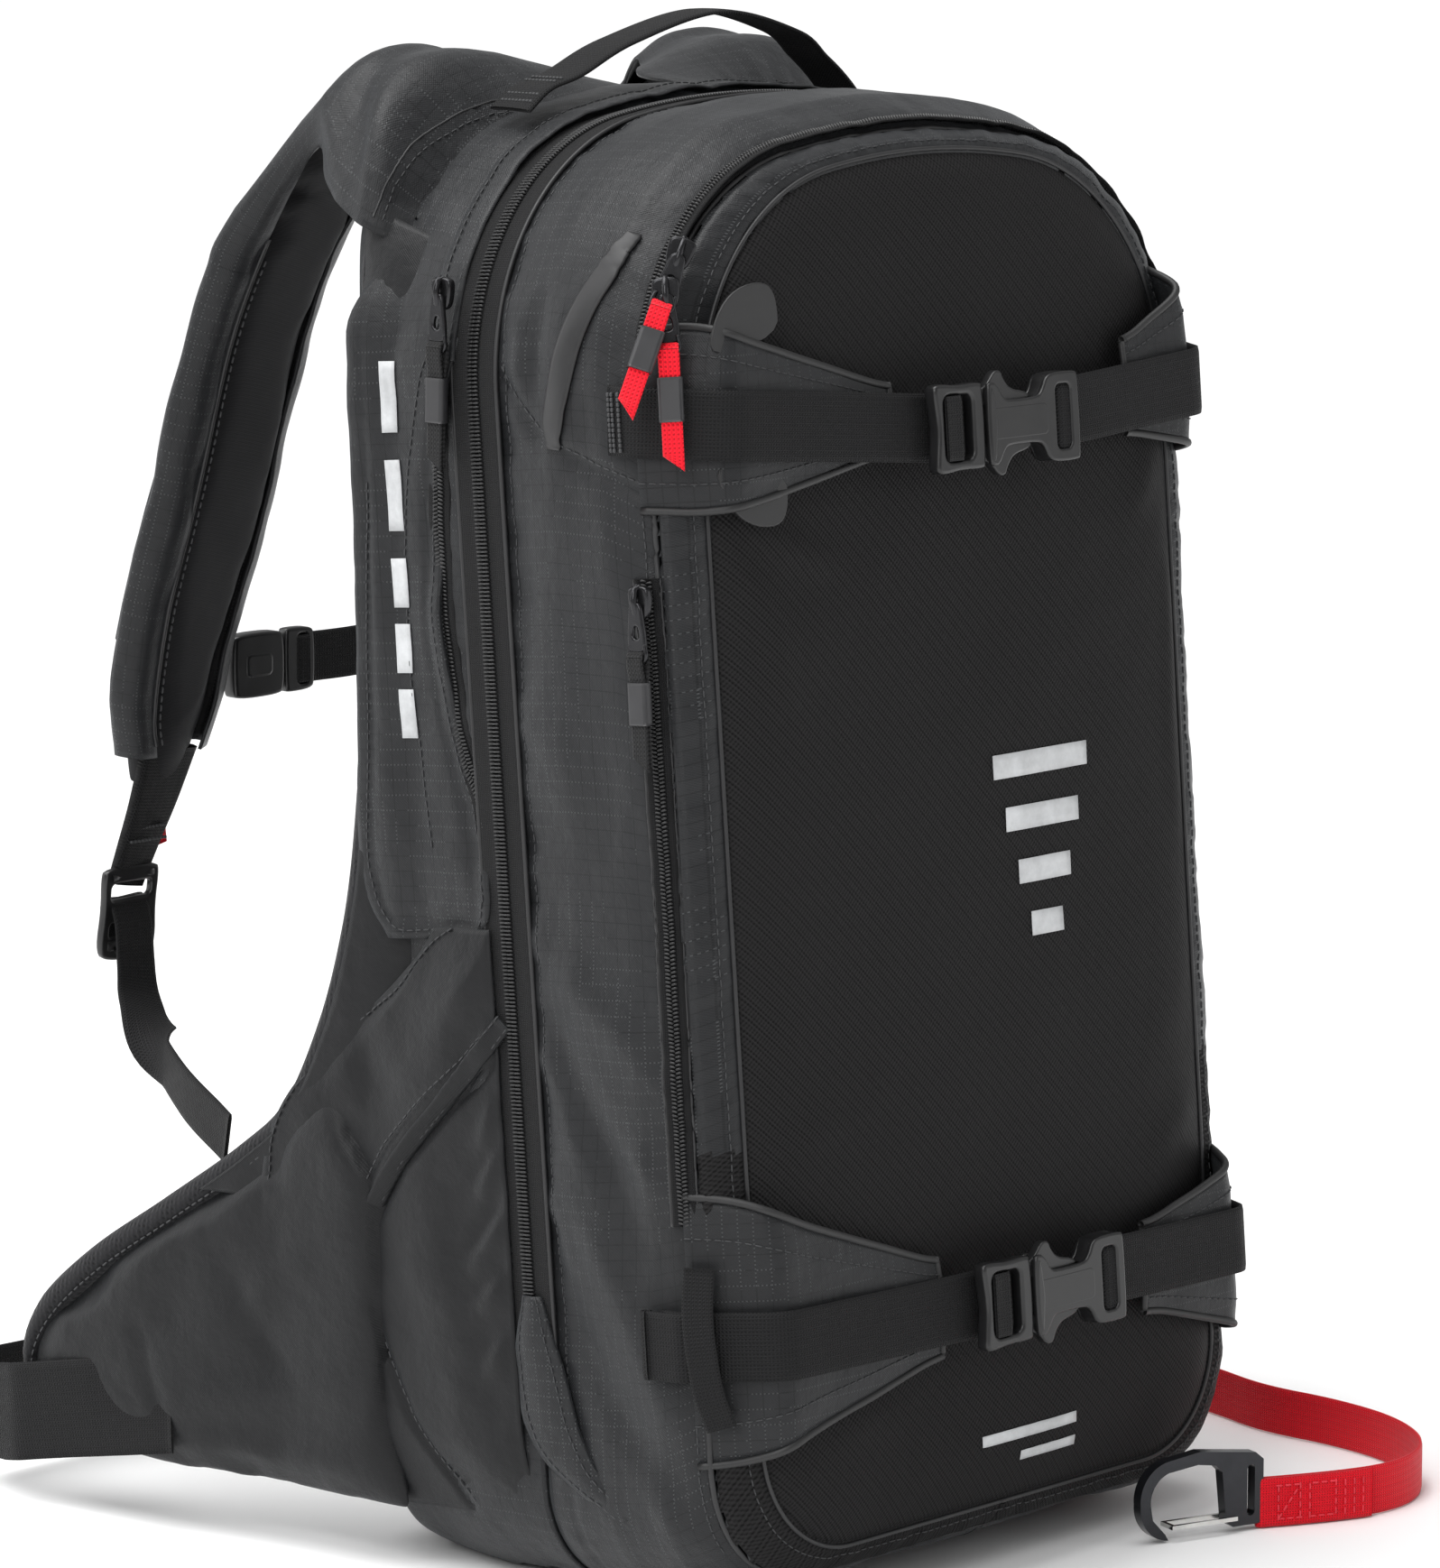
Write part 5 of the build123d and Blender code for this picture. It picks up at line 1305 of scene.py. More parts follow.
def inflate(obj, voxel=5.0, pressure=4.0, cap=7.0, steps=20):
    """Swells a closed pad as sewn fabric does; no point moves further than cap. Then it is smoothed once."""
    remesh = obj.modifiers.new("remesh", "REMESH")
    remesh.mode = "VOXEL"
    remesh.voxel_size = voxel * MM
    bake(obj)
    before = points_of(obj)
    cloth = obj.modifiers.new("cloth", "CLOTH")
    settings = cloth.settings
    settings.quality = 5
    settings.tension_stiffness = settings.compression_stiffness = 15
    settings.bending_stiffness = 0.5
    settings.use_pressure = True
    settings.uniform_pressure_force = pressure
    settings.effector_weights.gravity = 0
    cloth.point_cache.frame_start, cloth.point_cache.frame_end = 1, steps
    scene = bpy.context.scene
    for step in range(1, steps + 1):
        scene.frame_set(step)
    swollen = obj.evaluated_get(bpy.context.evaluated_depsgraph_get()).data
    flat = np.zeros(before.size)
    swollen.vertices.foreach_get("co", flat)
    move = flat.reshape(-1, 3) - before
    move *= np.minimum(1, cap * MM / np.maximum(np.linalg.norm(move, axis=1, keepdims=True), 1e-9))
    obj.modifiers.remove(cloth)
    set_points(obj, before + move)
    scene.frame_set(1)
    obj.data.polygons.foreach_set("use_smooth", [True] * len(obj.data.polygons))
    obj.modifiers.new("smooth", "SUBSURF").levels = 1
    obj.modifiers["smooth"].render_levels = 1


def closed_loft(name, sections, material):
    """Solid through closed sections of equal counts, in metres, with capped ends."""
    sections = np.asarray(sections, float)
    n, m = sections.shape[:2]
    faces = [tuple(f) for f in grid_faces(n, m, close_m=True)]
    faces += [tuple(range(m)), tuple(range((n - 1) * m + m - 1, (n - 1) * m - 1, -1))]
    return make(name, sections, faces, None, material, None)


def mirrored(points, side):
    """Left-side points as they are, or mirrored for the right side."""
    points = np.array(points, float)
    if side > 0:
        points[..., 0] *= -1
    return points


def ease_rows(rows, per):
    """Smooth surface through rows of points, per rows between each two."""
    rows = np.asarray(rows, float)
    rows = np.concatenate([2 * rows[:1] - rows[1:2], rows, 2 * rows[-1:] - rows[-2:-1]])
    out = []
    for a, b, c, d in zip(rows, rows[1:], rows[2:], rows[3:]):
        for t in np.linspace(0, 1, per, endpoint=False):
            out.append(0.5 * (2 * b + (c - a) * t + (2 * a - 5 * b + 4 * c - d) * t ** 2
                + (3 * b - a - 3 * c + d) * t ** 3))
    return np.array([*out, rows[-2]])


def evenly(points, count):
    """A line resampled to so many points."""
    p = spline(points, 1.0)
    gaps = arc_length(p)
    at = np.linspace(0, gaps[-1], count)
    return np.stack([np.interp(at, gaps, p[:, k]) for k in range(p.shape[1])], -1)


def sheet_uv(grid):
    """Cloth coordinates from distances along the middle row and column, in metres."""
    n, m = grid.shape[:2]
    down = arc_length(grid[:, m // 2])
    across = arc_length(grid[n // 2])
    return np.stack(np.broadcast_arrays(down[:, None], across[None]), -1)


def outward_shell(name, grid, thickness, material, middle, uv=None):
    """Sheet with its outer face away from a middle point; returns the sheet and a lay() on its face."""
    normals = normals_of(grid)
    flip = ((grid - np.asarray(middle) * MM) * normals).sum() < 0
    piece = shell(name, grid, sheet_uv(grid) if uv is None else uv, thickness, material, "harness", flip=flip)
    return piece, surface_height(grid, normals * (-1 if flip else 1))


SIDES = ((-1, "left"), (1, "right"))

# Shoulder straps: foam with a smooth dark inner face, under a ripstop cover that wraps its edges
STRAP_TOP, STRAP_END = np.array([-72.0, 62.0]), np.array([-97.0, 240.0])
strap_way = unit(STRAP_END - STRAP_TOP)
STRAP_ROUTE_UP = ((-26, 534), (0, 542), (42, 549), (84, 523), (121, 462), (144, 390), (167, 318), (176, 268))


def strap_frame(step=5):
    """Middle, outward direction and distance along the left strap, in metres; wide along strap_across."""
    route = spline(STRAP_ROUTE_UP, step)
    middle = np.stack([STRAP_TOP[0] + strap_way[0] * route[:, 0], STRAP_TOP[1] + strap_way[1] * route[:, 0],
        route[:, 1]], -1) * MM
    outward = np.cross(strap_across, unit(np.gradient(middle, axis=0)))
    outward *= np.sign(outward[len(outward) // 2, 1])
    return middle, unit(outward), np.linspace(0, 1, len(middle))


strap_across = np.array([strap_way[1], -strap_way[0], 0.0])
strap_middle, strap_out, strap_share = strap_frame()
STRAP_HALF = np.interp(strap_share, [0, 0.3, 0.8, 0.93, 1], [40, 33, 32, 27, 16])


def shoulder_pad(side, tag):
    turn = np.linspace(0, 2 * math.pi, 28, endpoint=False)
    cx = np.sign(np.cos(turn)) * np.abs(np.cos(turn)) ** 0.55
    cy = np.sign(np.sin(turn)) * np.abs(np.sin(turn)) ** 0.8
    root = (1 - smooth(strap_share, 0.34, 0.48))[:, None, None]
    sections = strap_middle[:, None] + (strap_across * cx[None, :, None]
        * ((STRAP_HALF - 3 - 13 * (1 - smooth(strap_share, 0.2, 0.34)))[:, None, None]) + strap_out[:, None]
        * (cy[None, :, None] * (6.0 - 3.4 * root) - 0.5 - 2.6 * root)) * MM
    sections = sections[strap_middle[:, 1] > 0.080]
    pad = closed_loft(f"shoulder_pad_{tag}", mirrored(sections, side), "smooth_lining")
    inflate(pad, 5, 3, 3)
    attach(pad, "harness")
    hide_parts(f"shoulder_strap_{tag}")


# The cover starts on the bag as the yoke; each row runs from the neck side to the side of the bag
YOKE_SEATS = (
    ((-14, 56, 549), (-46, 56, 548), (-76, 56, 545), (-100, 56, 538), (-122, 57, 525), (-137, 60, 508),
    (-143, 61, 497)),
    ((-14, 63, 548), (-46, 63, 547), (-76, 63, 545), (-101, 63, 538), (-123, 64, 525), (-137, 66, 509),
    (-142.5, 68, 497)),
)
YOKE_ROWS = (
    ((-16, 84, 547), (-40, 84, 553), (-70, 83, 557), (-98, 81, 553.5), (-122, 79, 537), (-135.5, 77, 516),
    (-141.5, 76, 499)),
    ((-38, 104, 549), (-58, 103, 556.5), (-82, 101, 558.5), (-104, 99, 554), (-119, 98, 541), (-127, 99, 526),
    (-132, 101, 511)),
    ((-50, 122, 545), (-64, 123, 553), (-84, 122, 555), (-104, 120, 551), (-117, 118, 541),
    (-120.5, 118, 530), (-119, 120, 523)),
)
YOKE_FOLDS = (
    (((128, 552), (104, 528), (86, 500)), 4, 2.0), (((110, 556), (88, 530), (76, 496)), 5, -2.2),
    (((92, 556), (74, 524), (66, 480)), 6, 2.0),
    (((70, 552), (56, 520), (52, 486)), 6, -1.8), (((50, 548), (36, 520), (30, 484)), 7, 1.6),
    (((26, 542), (14, 520), (8, 490)), 6, -1.2),
    (((76, 500), (58, 492), (40, 474)), 4, 1.8), (((80, 512), (60, 506), (44, 494)), 4, -1.4),
)


def shoulder_cover(side, tag):
    rows = []
    for line, lift in zip(YOKE_SEATS, (0.4, 1.4)):
        path, _ = on_rear_bag(evenly(line, 46) * MM, lift)
        rows.append(path / MM)
    rows += [evenly(points, 46) for points in YOKE_ROWS]
    puff = np.interp(strap_share, [0, 0.3, 0.5, 0.8, 0.93, 1], [0, 0.3, 1.0, 1.0, 0.5, 0])
    for k in range(1, len(strap_middle)):
        if strap_share[k] < 0.40 or (k % 4 and k < len(strap_middle) - 1) or strap_share[k] > 0.975:
            continue
        h, p = STRAP_HALF[k], puff[k]
        section = ((h - 9, -7.6), (h + 1.2, -3), (h + 1.5, 4), (h * 0.45, 7.0 + 2 * p),
            (-h * 0.45, 7.4 + 2 * p), (-h - 2 - p, 4.6), (-h - 2.6 - 2 * p, -1.5), (-h + 1, -7.4),
            (-h + 9, -8.2))
        rows.append(evenly([(strap_middle[k] + (strap_across * a + strap_out[k] * b) * MM) / MM for a,
            b in section], 46))
    grid = ease_rows(np.array(rows) * MM, 7)
    normals = normals_of(grid)
    if (normals[2, 20] @ np.array([-0.5, 0, 1])) < 0:
        normals = -normals
    mm = grid / MM
    ripple = 0.8 * noise_at(grid, 46, 2.2 + side) + 0.45 * noise_at(grid, 17, 4.1 + side)
    yoke_part = 1 - smooth(mm[..., 1], 110, 150)
    ripple += yoke_part * fold_height(mm[..., 1], mm[..., 2], YOKE_FOLDS) * smooth(-mm[..., 0], 80, 120)
    strap_part = smooth(mm[..., 1], 150, 190)
    wave = np.sin(arc_length(grid[:, 20] / MM)[:, None] / 11 + noise_at(grid, 60, 8.8) * 3)
    rim = np.abs(np.linspace(-1, 1, grid.shape[1]))[None]
    ripple += strap_part * wave * 0.55 * smooth(rim, 0.35, 0.75)
    grid = mirrored(grid + normals * ripple[..., None] * MM, side)
    cover, lay = outward_shell(f"shoulder_cover_{tag}", grid, 1.3, "ripstop", (side * 80, 60, 430))
    return grid, lay


def strap_line(a, b, first, last, side):
    """Line on the strap at a width a and an outward offset b, between two shares of its length."""
    keep = (strap_share >= first) & (strap_share <= last)
    line = strap_middle + (strap_across * (a(STRAP_HALF) if callable(a) else a)[:, None] + strap_out * b) * MM
    return mirrored(line[keep], side), mirrored(strap_out[keep], side)


for side, tag in SIDES:
    shoulder_pad(side, tag)
    cover_grid, on_cover = shoulder_cover(side, tag)
    for place, a in (("outer", lambda h: -h + 12.5),):
        line, out = strap_line(a, -8.6, 0.42, 0.95, side)
        stitches(f"strap_stitching_{place}_{tag}", line, -out, "harness", height=0.7, width=0.6)
    line, out = strap_line(lambda h: -h + 9.5, -8.2, 0.40, 0.96, side)
    rod(f"strap_seam_{tag}", line, 0.9, "piping", "harness", sides=8)
    # seams of the yoke
    seam = mirrored(np.array([(-76, 62, 546), (-101, 62, 540), (-122, 64, 529), (-134, 66, 515),
        (-141, 68, 502)]) * MM, side)
    path, up = on_cover(spline(seam, 0.002), -0.1)
    rod(f"yoke_seam_{tag}", path, 0.5, "piping", "harness", sides=8)
    path, up = on_cover(spline(seam - np.array([0, 0.004, 0.003]), 0.002), 0.3)
    stitches(f"yoke_stitching_{tag}", path, up, "harness", height=0.5, width=0.5)
    # narrow tail that carries the ladder lock, with a bar tack
    tail = mirrored(spline(np.array([(-94.5, 232, 284), (-98, 238, 262), (-101, 243, 246), (-103.5, 246, 235),
        (-104.8, 247.4, 229)]) * MM, 0.003), side)
    ribbon(f"strap_tail_{tag}", tail, (1, 0.14 * -side, 0), np.linspace(33, 20, len(tail)), 4.6,
        "black_webbing", "harness", edge=0.5, crown=0.6)
    for k, z in enumerate((252, 247)):
        line = mirrored(np.stack([np.linspace(-110, -92, 14), np.full(14, 238.6 - 0.2 * k), np.full(14, z)],
            -1) * MM, side)
        stitches(f"strap_tail_tack_{tag}_{k}", line, (0, -1, 0), "harness", length=1.6, gap=0.3, height=1.1,
            width=1.2)

# Ladder locks: curved plastic with two slots, the adjuster webbing through them
for side, tag in SIDES:
    centre = mirrored(np.array([-105, 246, 218]) * MM, side)
    across, upward = unit(mirrored([1.0, 0.05, 0], side) * -side), unit(np.array([0, -0.12, 1]))
    outline = soften([(-15, 15), (-13.5, 19), (13.5, 19), (15, 15), (14, 2), (15.5, -13), (12, -19),
        (-12, -19), (-15.5, -13), (-14, 2)], 2)
    lock = plate(f"ladder_frame_{tag}", outline, [round_rect(-10.8, 6, 10.8, 12.4, 2),
        round_rect(-10.8, -9.6, 10.8, -3.4, 2)], 3.6, 1.2, centre, across, upward, "buckle_plastic",
        "harness")
    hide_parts(f"ladderlock_{tag}")
    for k, (z, y) in enumerate(((2, 1.6), (-12.5, -1.0), (15, 0.6))):
        bar = [centre + across * a * MM + upward * z * MM + np.array([0, y - 0.0009 * a * a * 10, 0]) * MM
            for a in np.linspace(-11.5, 11.5, 7)]
        rod(f"ladder_bar_{tag}_{k}", np.array(bar), 2.0, "buckle_plastic", "harness", sides=10)
    # webbing: over the middle bar, down and back to the hip wing with a half twist
    route = mirrored(np.array([(-104, 243.5, 203), (-104.5, 250.5, 210), (-105, 250.8, 221),
        (-105.5, 246.0, 223.5), (-106, 241.5, 214), (-106.5, 240, 200), (-110, 234, 186), (-122, 212, 172),
        (-138, 178, 160), (-150, 146, 152), (-153, 138, 150)]) * MM, side)
    path = spline(route, 0.003)
    share = np.linspace(0, 1, len(path))
    twist = np.interp(share, [0, 0.42, 0.62, 1], [0, 0, 1, 1])[:, None]
    flat_way = mirrored([1.0, 0.06, 0.0], side)
    wing_way = mirrored([0.16, 0.35, 0.92], side)
    webbing_piece = ribbon(f"adjuster_strap_{tag}", path, flat_way * (1 - twist) + wing_way * twist, 20, 1.5,
        "black_webbing", "harness", edge=0.6)
    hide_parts(f"adjuster_webbing_{tag}")

# Red tab sewn on a dark tab beside the left ladder lock
tab = spline(np.array([(-93, 243, 262), (-90.5, 244.5, 252), (-89, 245, 243)]) * MM, 0.002)
ribbon("red_tab", tab, (1, 0.1, 0.15), 9, 1.6, "red_pull", "harness")
ribbon("red_tab_base", spline(np.array([(-95, 241.5, 268), (-92.5, 243.6, 257)]) * MM, 0.002), (1, 0.1, 0.15),
    10.5, 2.2, "black_webbing", "harness")

# Sternum strap and its small buckle
STERNUM = np.array([0, 235, 311]) * MM
sternum_line = np.array([(-16, 0, 0), (4, -0.8, 0), (30, -1.0, 0.6), (61.5, 0, 0)]) * MM + STERNUM
sternum = ribbon("sternum_webbing", spline(sternum_line, 0.004), (0, 0, 1), 20, 1.5, "black_webbing",
    "harness", edge=0.6)
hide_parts("sternum_strap")
ribbon("sternum_keeper", np.array([(20, 0, 0), (31, 0, 0)]) * MM + STERNUM, (0, 0, 1), 22, 4.0, "rubber",
    "harness")
east, upright = np.array([1.0, 0, 0]), np.array([0, 0, 1.0])
socket_outline = soften([(-14, 10), (-12, 13), (10, 13), (13.6, 11), (13.6, -11), (10, -13), (-12, -13),
    (-14, -10)], 2)
socket = plate("sternum_socket", socket_outline, [], 7.6, 1.6, STERNUM + np.array([-46, 0, 0]) * MM, east,
    upright, "buckle_plastic", "harness")
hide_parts("sternum_buckle_female")
plate("sternum_socket_ridge", round_rect(-9, -5, 6, 5, 3), [], 8.6, 1.4, STERNUM + np.array([-45, 0, 0]) * MM,
    east, upright, "buckle_plastic", "harness")
clip_outline = soften([(-8, 12), (-6, 13), (6, 12.6), (8.2, 10), (8.2, -10), (6, -12.6), (-6, -13),
    (-8, -12)], 2)
clip = plate("sternum_clip", clip_outline, [round_rect(-1, -9.8, 4, 9.8, 1.6)], 5.4, 1.3,
    STERNUM + np.array([-23.2, 0, 0]) * MM, east, upright, "buckle_plastic", "harness")
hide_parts("sternum_buckle_male")
strap_loop("sternum_loop", STERNUM + np.array([-22.8, 0, 0]) * MM, -east, upright, np.array([0, -1.0, 0]), 19,
    5, "harness")

# Trigger: fabric sleeve on the left strap's outer face, and the T-handle in it
run_down = unit(np.array([strap_way[0] * 46, strap_way[1] * 46, -144]))
sleeve_out = unit(np.cross(strap_across, run_down))
sleeve_out *= np.sign(sleeve_out[1])
sleeve_at = np.mean(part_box("trigger_sleeve"), axis=0)
sections = []
for d, grow in ((-35, -1.2), (-33.5, 0), (-20, 0.6), (0, 0.9), (20, 0.6), (33.5, 0), (34.5, -1.0)):
    turn = np.linspace(0, 2 * math.pi, 28, endpoint=False)
    a = np.sign(np.cos(turn)) * np.abs(np.cos(turn)) ** 0.5 * (17.5 + grow)
    b = np.sign(np.sin(turn)) * np.abs(np.sin(turn)) ** 0.6 * (6.6 + grow * 0.6)
    sections.append(sleeve_at + (run_down * d + strap_across * a[:, None] + sleeve_out * b[:, None]) * MM)
sleeve = closed_loft("trigger_cover", sections, "ripstop_yoke")
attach(sleeve, "harness")
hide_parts("trigger_sleeve")
for edge in (-1, 1):
    line = np.array([sleeve_at + (run_down * d + strap_across * edge * 12 + sleeve_out * 6.6) * MM
        for d in np.linspace(-31, 31, 20)])
    stitches(f"trigger_stitching_{'in' if edge > 0 else 'out'}", line - sleeve_out * 0.5 * MM, sleeve_out,
        "harness", height=0.4)
handle_at = np.array(np.mean(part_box("trigger_handle"), axis=0))
grip = soften([(-13, 38), (-7, 38.5), (7, 38.5), (13, 38), (13.5, 20), (8, 12), (8, -14), (13.6, -20),
    (14, -36), (10, -39.5), (-10, -39.5), (-14, -36), (-13.6, -20), (-8, -14), (-8, 12), (-13.5, 20)], 2)
handle = plate("trigger_grip", grip, [], 6.4, 2.2, handle_at, strap_across, -run_down, "red_grip", "trigger")
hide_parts("trigger_handle")
for k in range(5):
    bar = np.array([handle_at + (run_down * (22 + 3.4 * k) + strap_across * a + sleeve_out * 3.1) * MM
        for a in (-9, 0, 9)])
    rod(f"trigger_rib_{k}", bar, 0.7, "red_grip", "trigger", sides=8)

# ---------------------------------------------------------------- back panel and hip belt

back = half_arch(134, 7, 525, CROWN * 134 / 146, 98, 40, counts=(12, 8, 46, 18, 10))
outline = np.concatenate([back, back[-2:0:-1] * (-1, 1)])
sections = []
for depth, inset in ((69.2, 6), (71, 1.5), (76, 0), (80, 1), (83, 5), (84.6, 12)):
    middle = np.array([0, 265])
    shrink = 1 - inset / 134
    p = middle + (outline - middle) * (shrink, 1 - inset / 260)
    sections.append(np.stack([p[:, 0], np.full(len(p), depth), p[:, 1]], -1) * MM)
back_pad = closed_loft("back_panel_pad", sections, "back_foam")
inflate(back_pad, 6, 3, 4)
co = points_of(back_pad)
channel = np.exp(-(co[:, 0] / 0.020) ** 4) * smooth(co[:, 2], 0.05, 0.09) * (1 - smooth(co[:, 2], 0.44, 0.48))
for z in (0.150, 0.262, 0.374):
    channel = np.maximum(channel, 0.7 * np.exp(-((co[:, 2] - z) / 0.006) ** 2)
        * smooth(np.abs(co[:, 0]), 0.01, 0.03))
co[:, 1] -= np.where(co[:, 1] > 0.079, channel * 0.0065, 0)
set_points(back_pad, co)
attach(back_pad, "harness")
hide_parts("back_panel")

WING_TRACE = ((-150, 34), (-153, 100), (-166, 168), (-172, 230))
WING_EDGE = (
    (-118, 73, 512), (-130, 75, 500), (-136.5, 71, 472), (-138.7, 66.5, 442), (-140, 64.5, 412),
    (-140.6, 64, 370), (-141.2, 64.5, 340), (-142.5, 66.5, 312), (-146, 69, 262),
    (-149, 73, 231), (-151.5, 82, 200), (-154.7, 98, 167), (-158, 120, 147), (-164, 156, 122),
    (-170, 190, 99), (-173.5, 216, 76), (-174.5, 226, 56), (-173, 220, 38),
)


def wing_x(y):
    return np.interp(y, *zip(*[(b, a) for a, b in WING_TRACE]))


def hip_wing(side, tag):
    ys = np.linspace(44, 228, 47)
    top = np.interp(ys, [44, 72, 96, 118, 190, 222, 230], [150, 186, 172, 152, 104, 74, 56]) - 1.0
    low = np.interp(ys, [44, 100, 160, 214, 230], [17, 15, 15, 22, 46])
    turn = np.linspace(0, 2 * math.pi, 44, endpoint=False)
    cz = np.sign(np.sin(turn)) * np.abs(np.sin(turn)) ** 0.75
    cx = np.sign(np.cos(turn)) * np.abs(np.cos(turn)) ** 0.45
    half = 5.6 * smooth(ys, 30, 70)
    rows = []
    for y, a, b, h in zip(ys, low, top, half):
        z = (a + b) / 2 + cz * (b - a) / 2
        x = wing_x(y) + cx * h
        rows.append(np.stack([x, np.full(44, y), z], -1))
    piece = closed_loft(f"hip_wing_pad_{tag}", mirrored(np.array(rows) * MM, side), "stretch")
    inflate(piece, 5, 4, 5)
    # radial folds from the webbing's seam towards the bag
    co = points_of(piece)
    flat = co[:, 1:] / MM
    outer = np.abs(co[:, 0]) / MM > wing_x(flat[:, 0]) * -1
    folds = ((((150, 46), (100, 60), (62, 70)), 7, 2.2), (((156, 62), (112, 92), (84, 118)), 7, 2.0),
        (((150, 34), (100, 34), (60, 40)), 6, 1.8), (((128, 112), (110, 84), (84, 56)), 6, -1.6),
        (((166, 70), (140, 96)), 6, -1.2))
    push = fold_height(flat[:, 0], flat[:, 1], folds) + groove(flat[:, 0], flat[:, 1],
        ((150, 28), (158, 52), (166, 78)), 1.6, 2.4)
    co[:, 0] += np.where(outer, push * MM * np.sign(co[:, 0]), 0)
    set_points(piece, co)
    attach(piece, "harness")
    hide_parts(f"hip_wing_{tag}")
    edge = spline(np.array(WING_EDGE) * MM, 0.004)
    rod(f"back_edge_roll_{tag}", mirrored(edge, side),
        np.interp(np.linspace(0, 1, len(edge)), [0, 0.06, 0.3, 0.92, 1], [3, 5.2, 5.6, 5.6, 3.5]), "fleece",
        "harness", sides=14, up=(1, 0, 0))
    inner = edge[edge[:, 2] < 0.262] + np.array([-4.4, -3.6, -2.6]) * MM
    stitches(f"back_edge_stitching_{tag}", mirrored(inner, side), mirrored(np.array([-1.0, -0.2, 0]), side),
        "harness", height=0.8, width=0.7)


def back_gusset(side, tag):
    """Cloth from under the side flap round the back edge's roll, down to the hip wing."""
    edge = spline(np.array(WING_EDGE, float), 3)
    edge = edge[(edge[:, 2] < 505) & (edge[:, 2] > 132)]
    under = np.interp(edge[:, 2], [132, 175, 212, 262], [96, 70, 42, 48])
    front = np.stack([np.interp(under, [50, 70, 96], [-147.5, -151.0, -157.0]), under, edge[:, 2]], -1)
    on_skin, _ = on_rear_bag(front * MM, 0.4)
    front = np.where((edge[:, 2] > 208)[:, None], on_skin / MM, front)
    high = smooth(edge[:, 2], 262, 300)[:, None]
    crest = edge + np.array([-5.6, -1.0, 0])
    around = edge + np.array([-5.2, -0.8, 0]) * (1 - high) + np.array([-3.6, 4.9, 0]) * high
    tucked = edge + np.array([-4.6, -0.6, -1.0]) * (1 - high) + np.array([1.5, 5.8, 0]) * high
    share = np.linspace(0, 1, 14)[None, :, None]
    flat = front[:, None] * (1 - share) + crest[:, None] * share
    grid = np.concatenate([flat, around[:, None], tucked[:, None]], 1)
    swell = np.concatenate([np.sin(share[0, :, 0] * math.pi), [0, 0]])
    ripple = 0.9 * noise_at(grid * MM, 30, 3.3 + side) + 0.5 * noise_at(grid * MM, 13, 9.1)
    grid[..., 0] -= swell * (1.2 + ripple)
    grid = mirrored(grid * MM, side)
    normals = normals_of(grid)
    flip = normals[len(grid) // 2, 7][0] * side < 0
    shell(f"back_gusset_{tag}", grid, sheet_uv(grid), 1.1, "stretch", "harness", flip=flip)


for side, tag in SIDES:
    hip_wing(side, tag)
    back_gusset(side, tag)

# Stretch side pocket: one sheet from the split zip back over the root of the hip wing
POCKET_BACK = ((26, 44), (36, 62), (60, 76), (95, 90), (120, 101), (150, 99), (175, 90), (200, 66), (214, 46),
    (224, 29), (240, 14), (247, 2))


def pocket_skin(w, v):
    """Distance of the side's cloth from the middle, in millimetres."""
    y = w * COS + v * SIN
    base = np.interp(y, [-40, 20, 60, 80, 100, 168, 230], [149.6, 151.0, 152.0, 155.2, 160.2, 173.4, 179.5])
    foot = smooth(v, 18, 66)
    return base * (0.985 + 0.015 * foot) - 5.0 * (1 - foot)


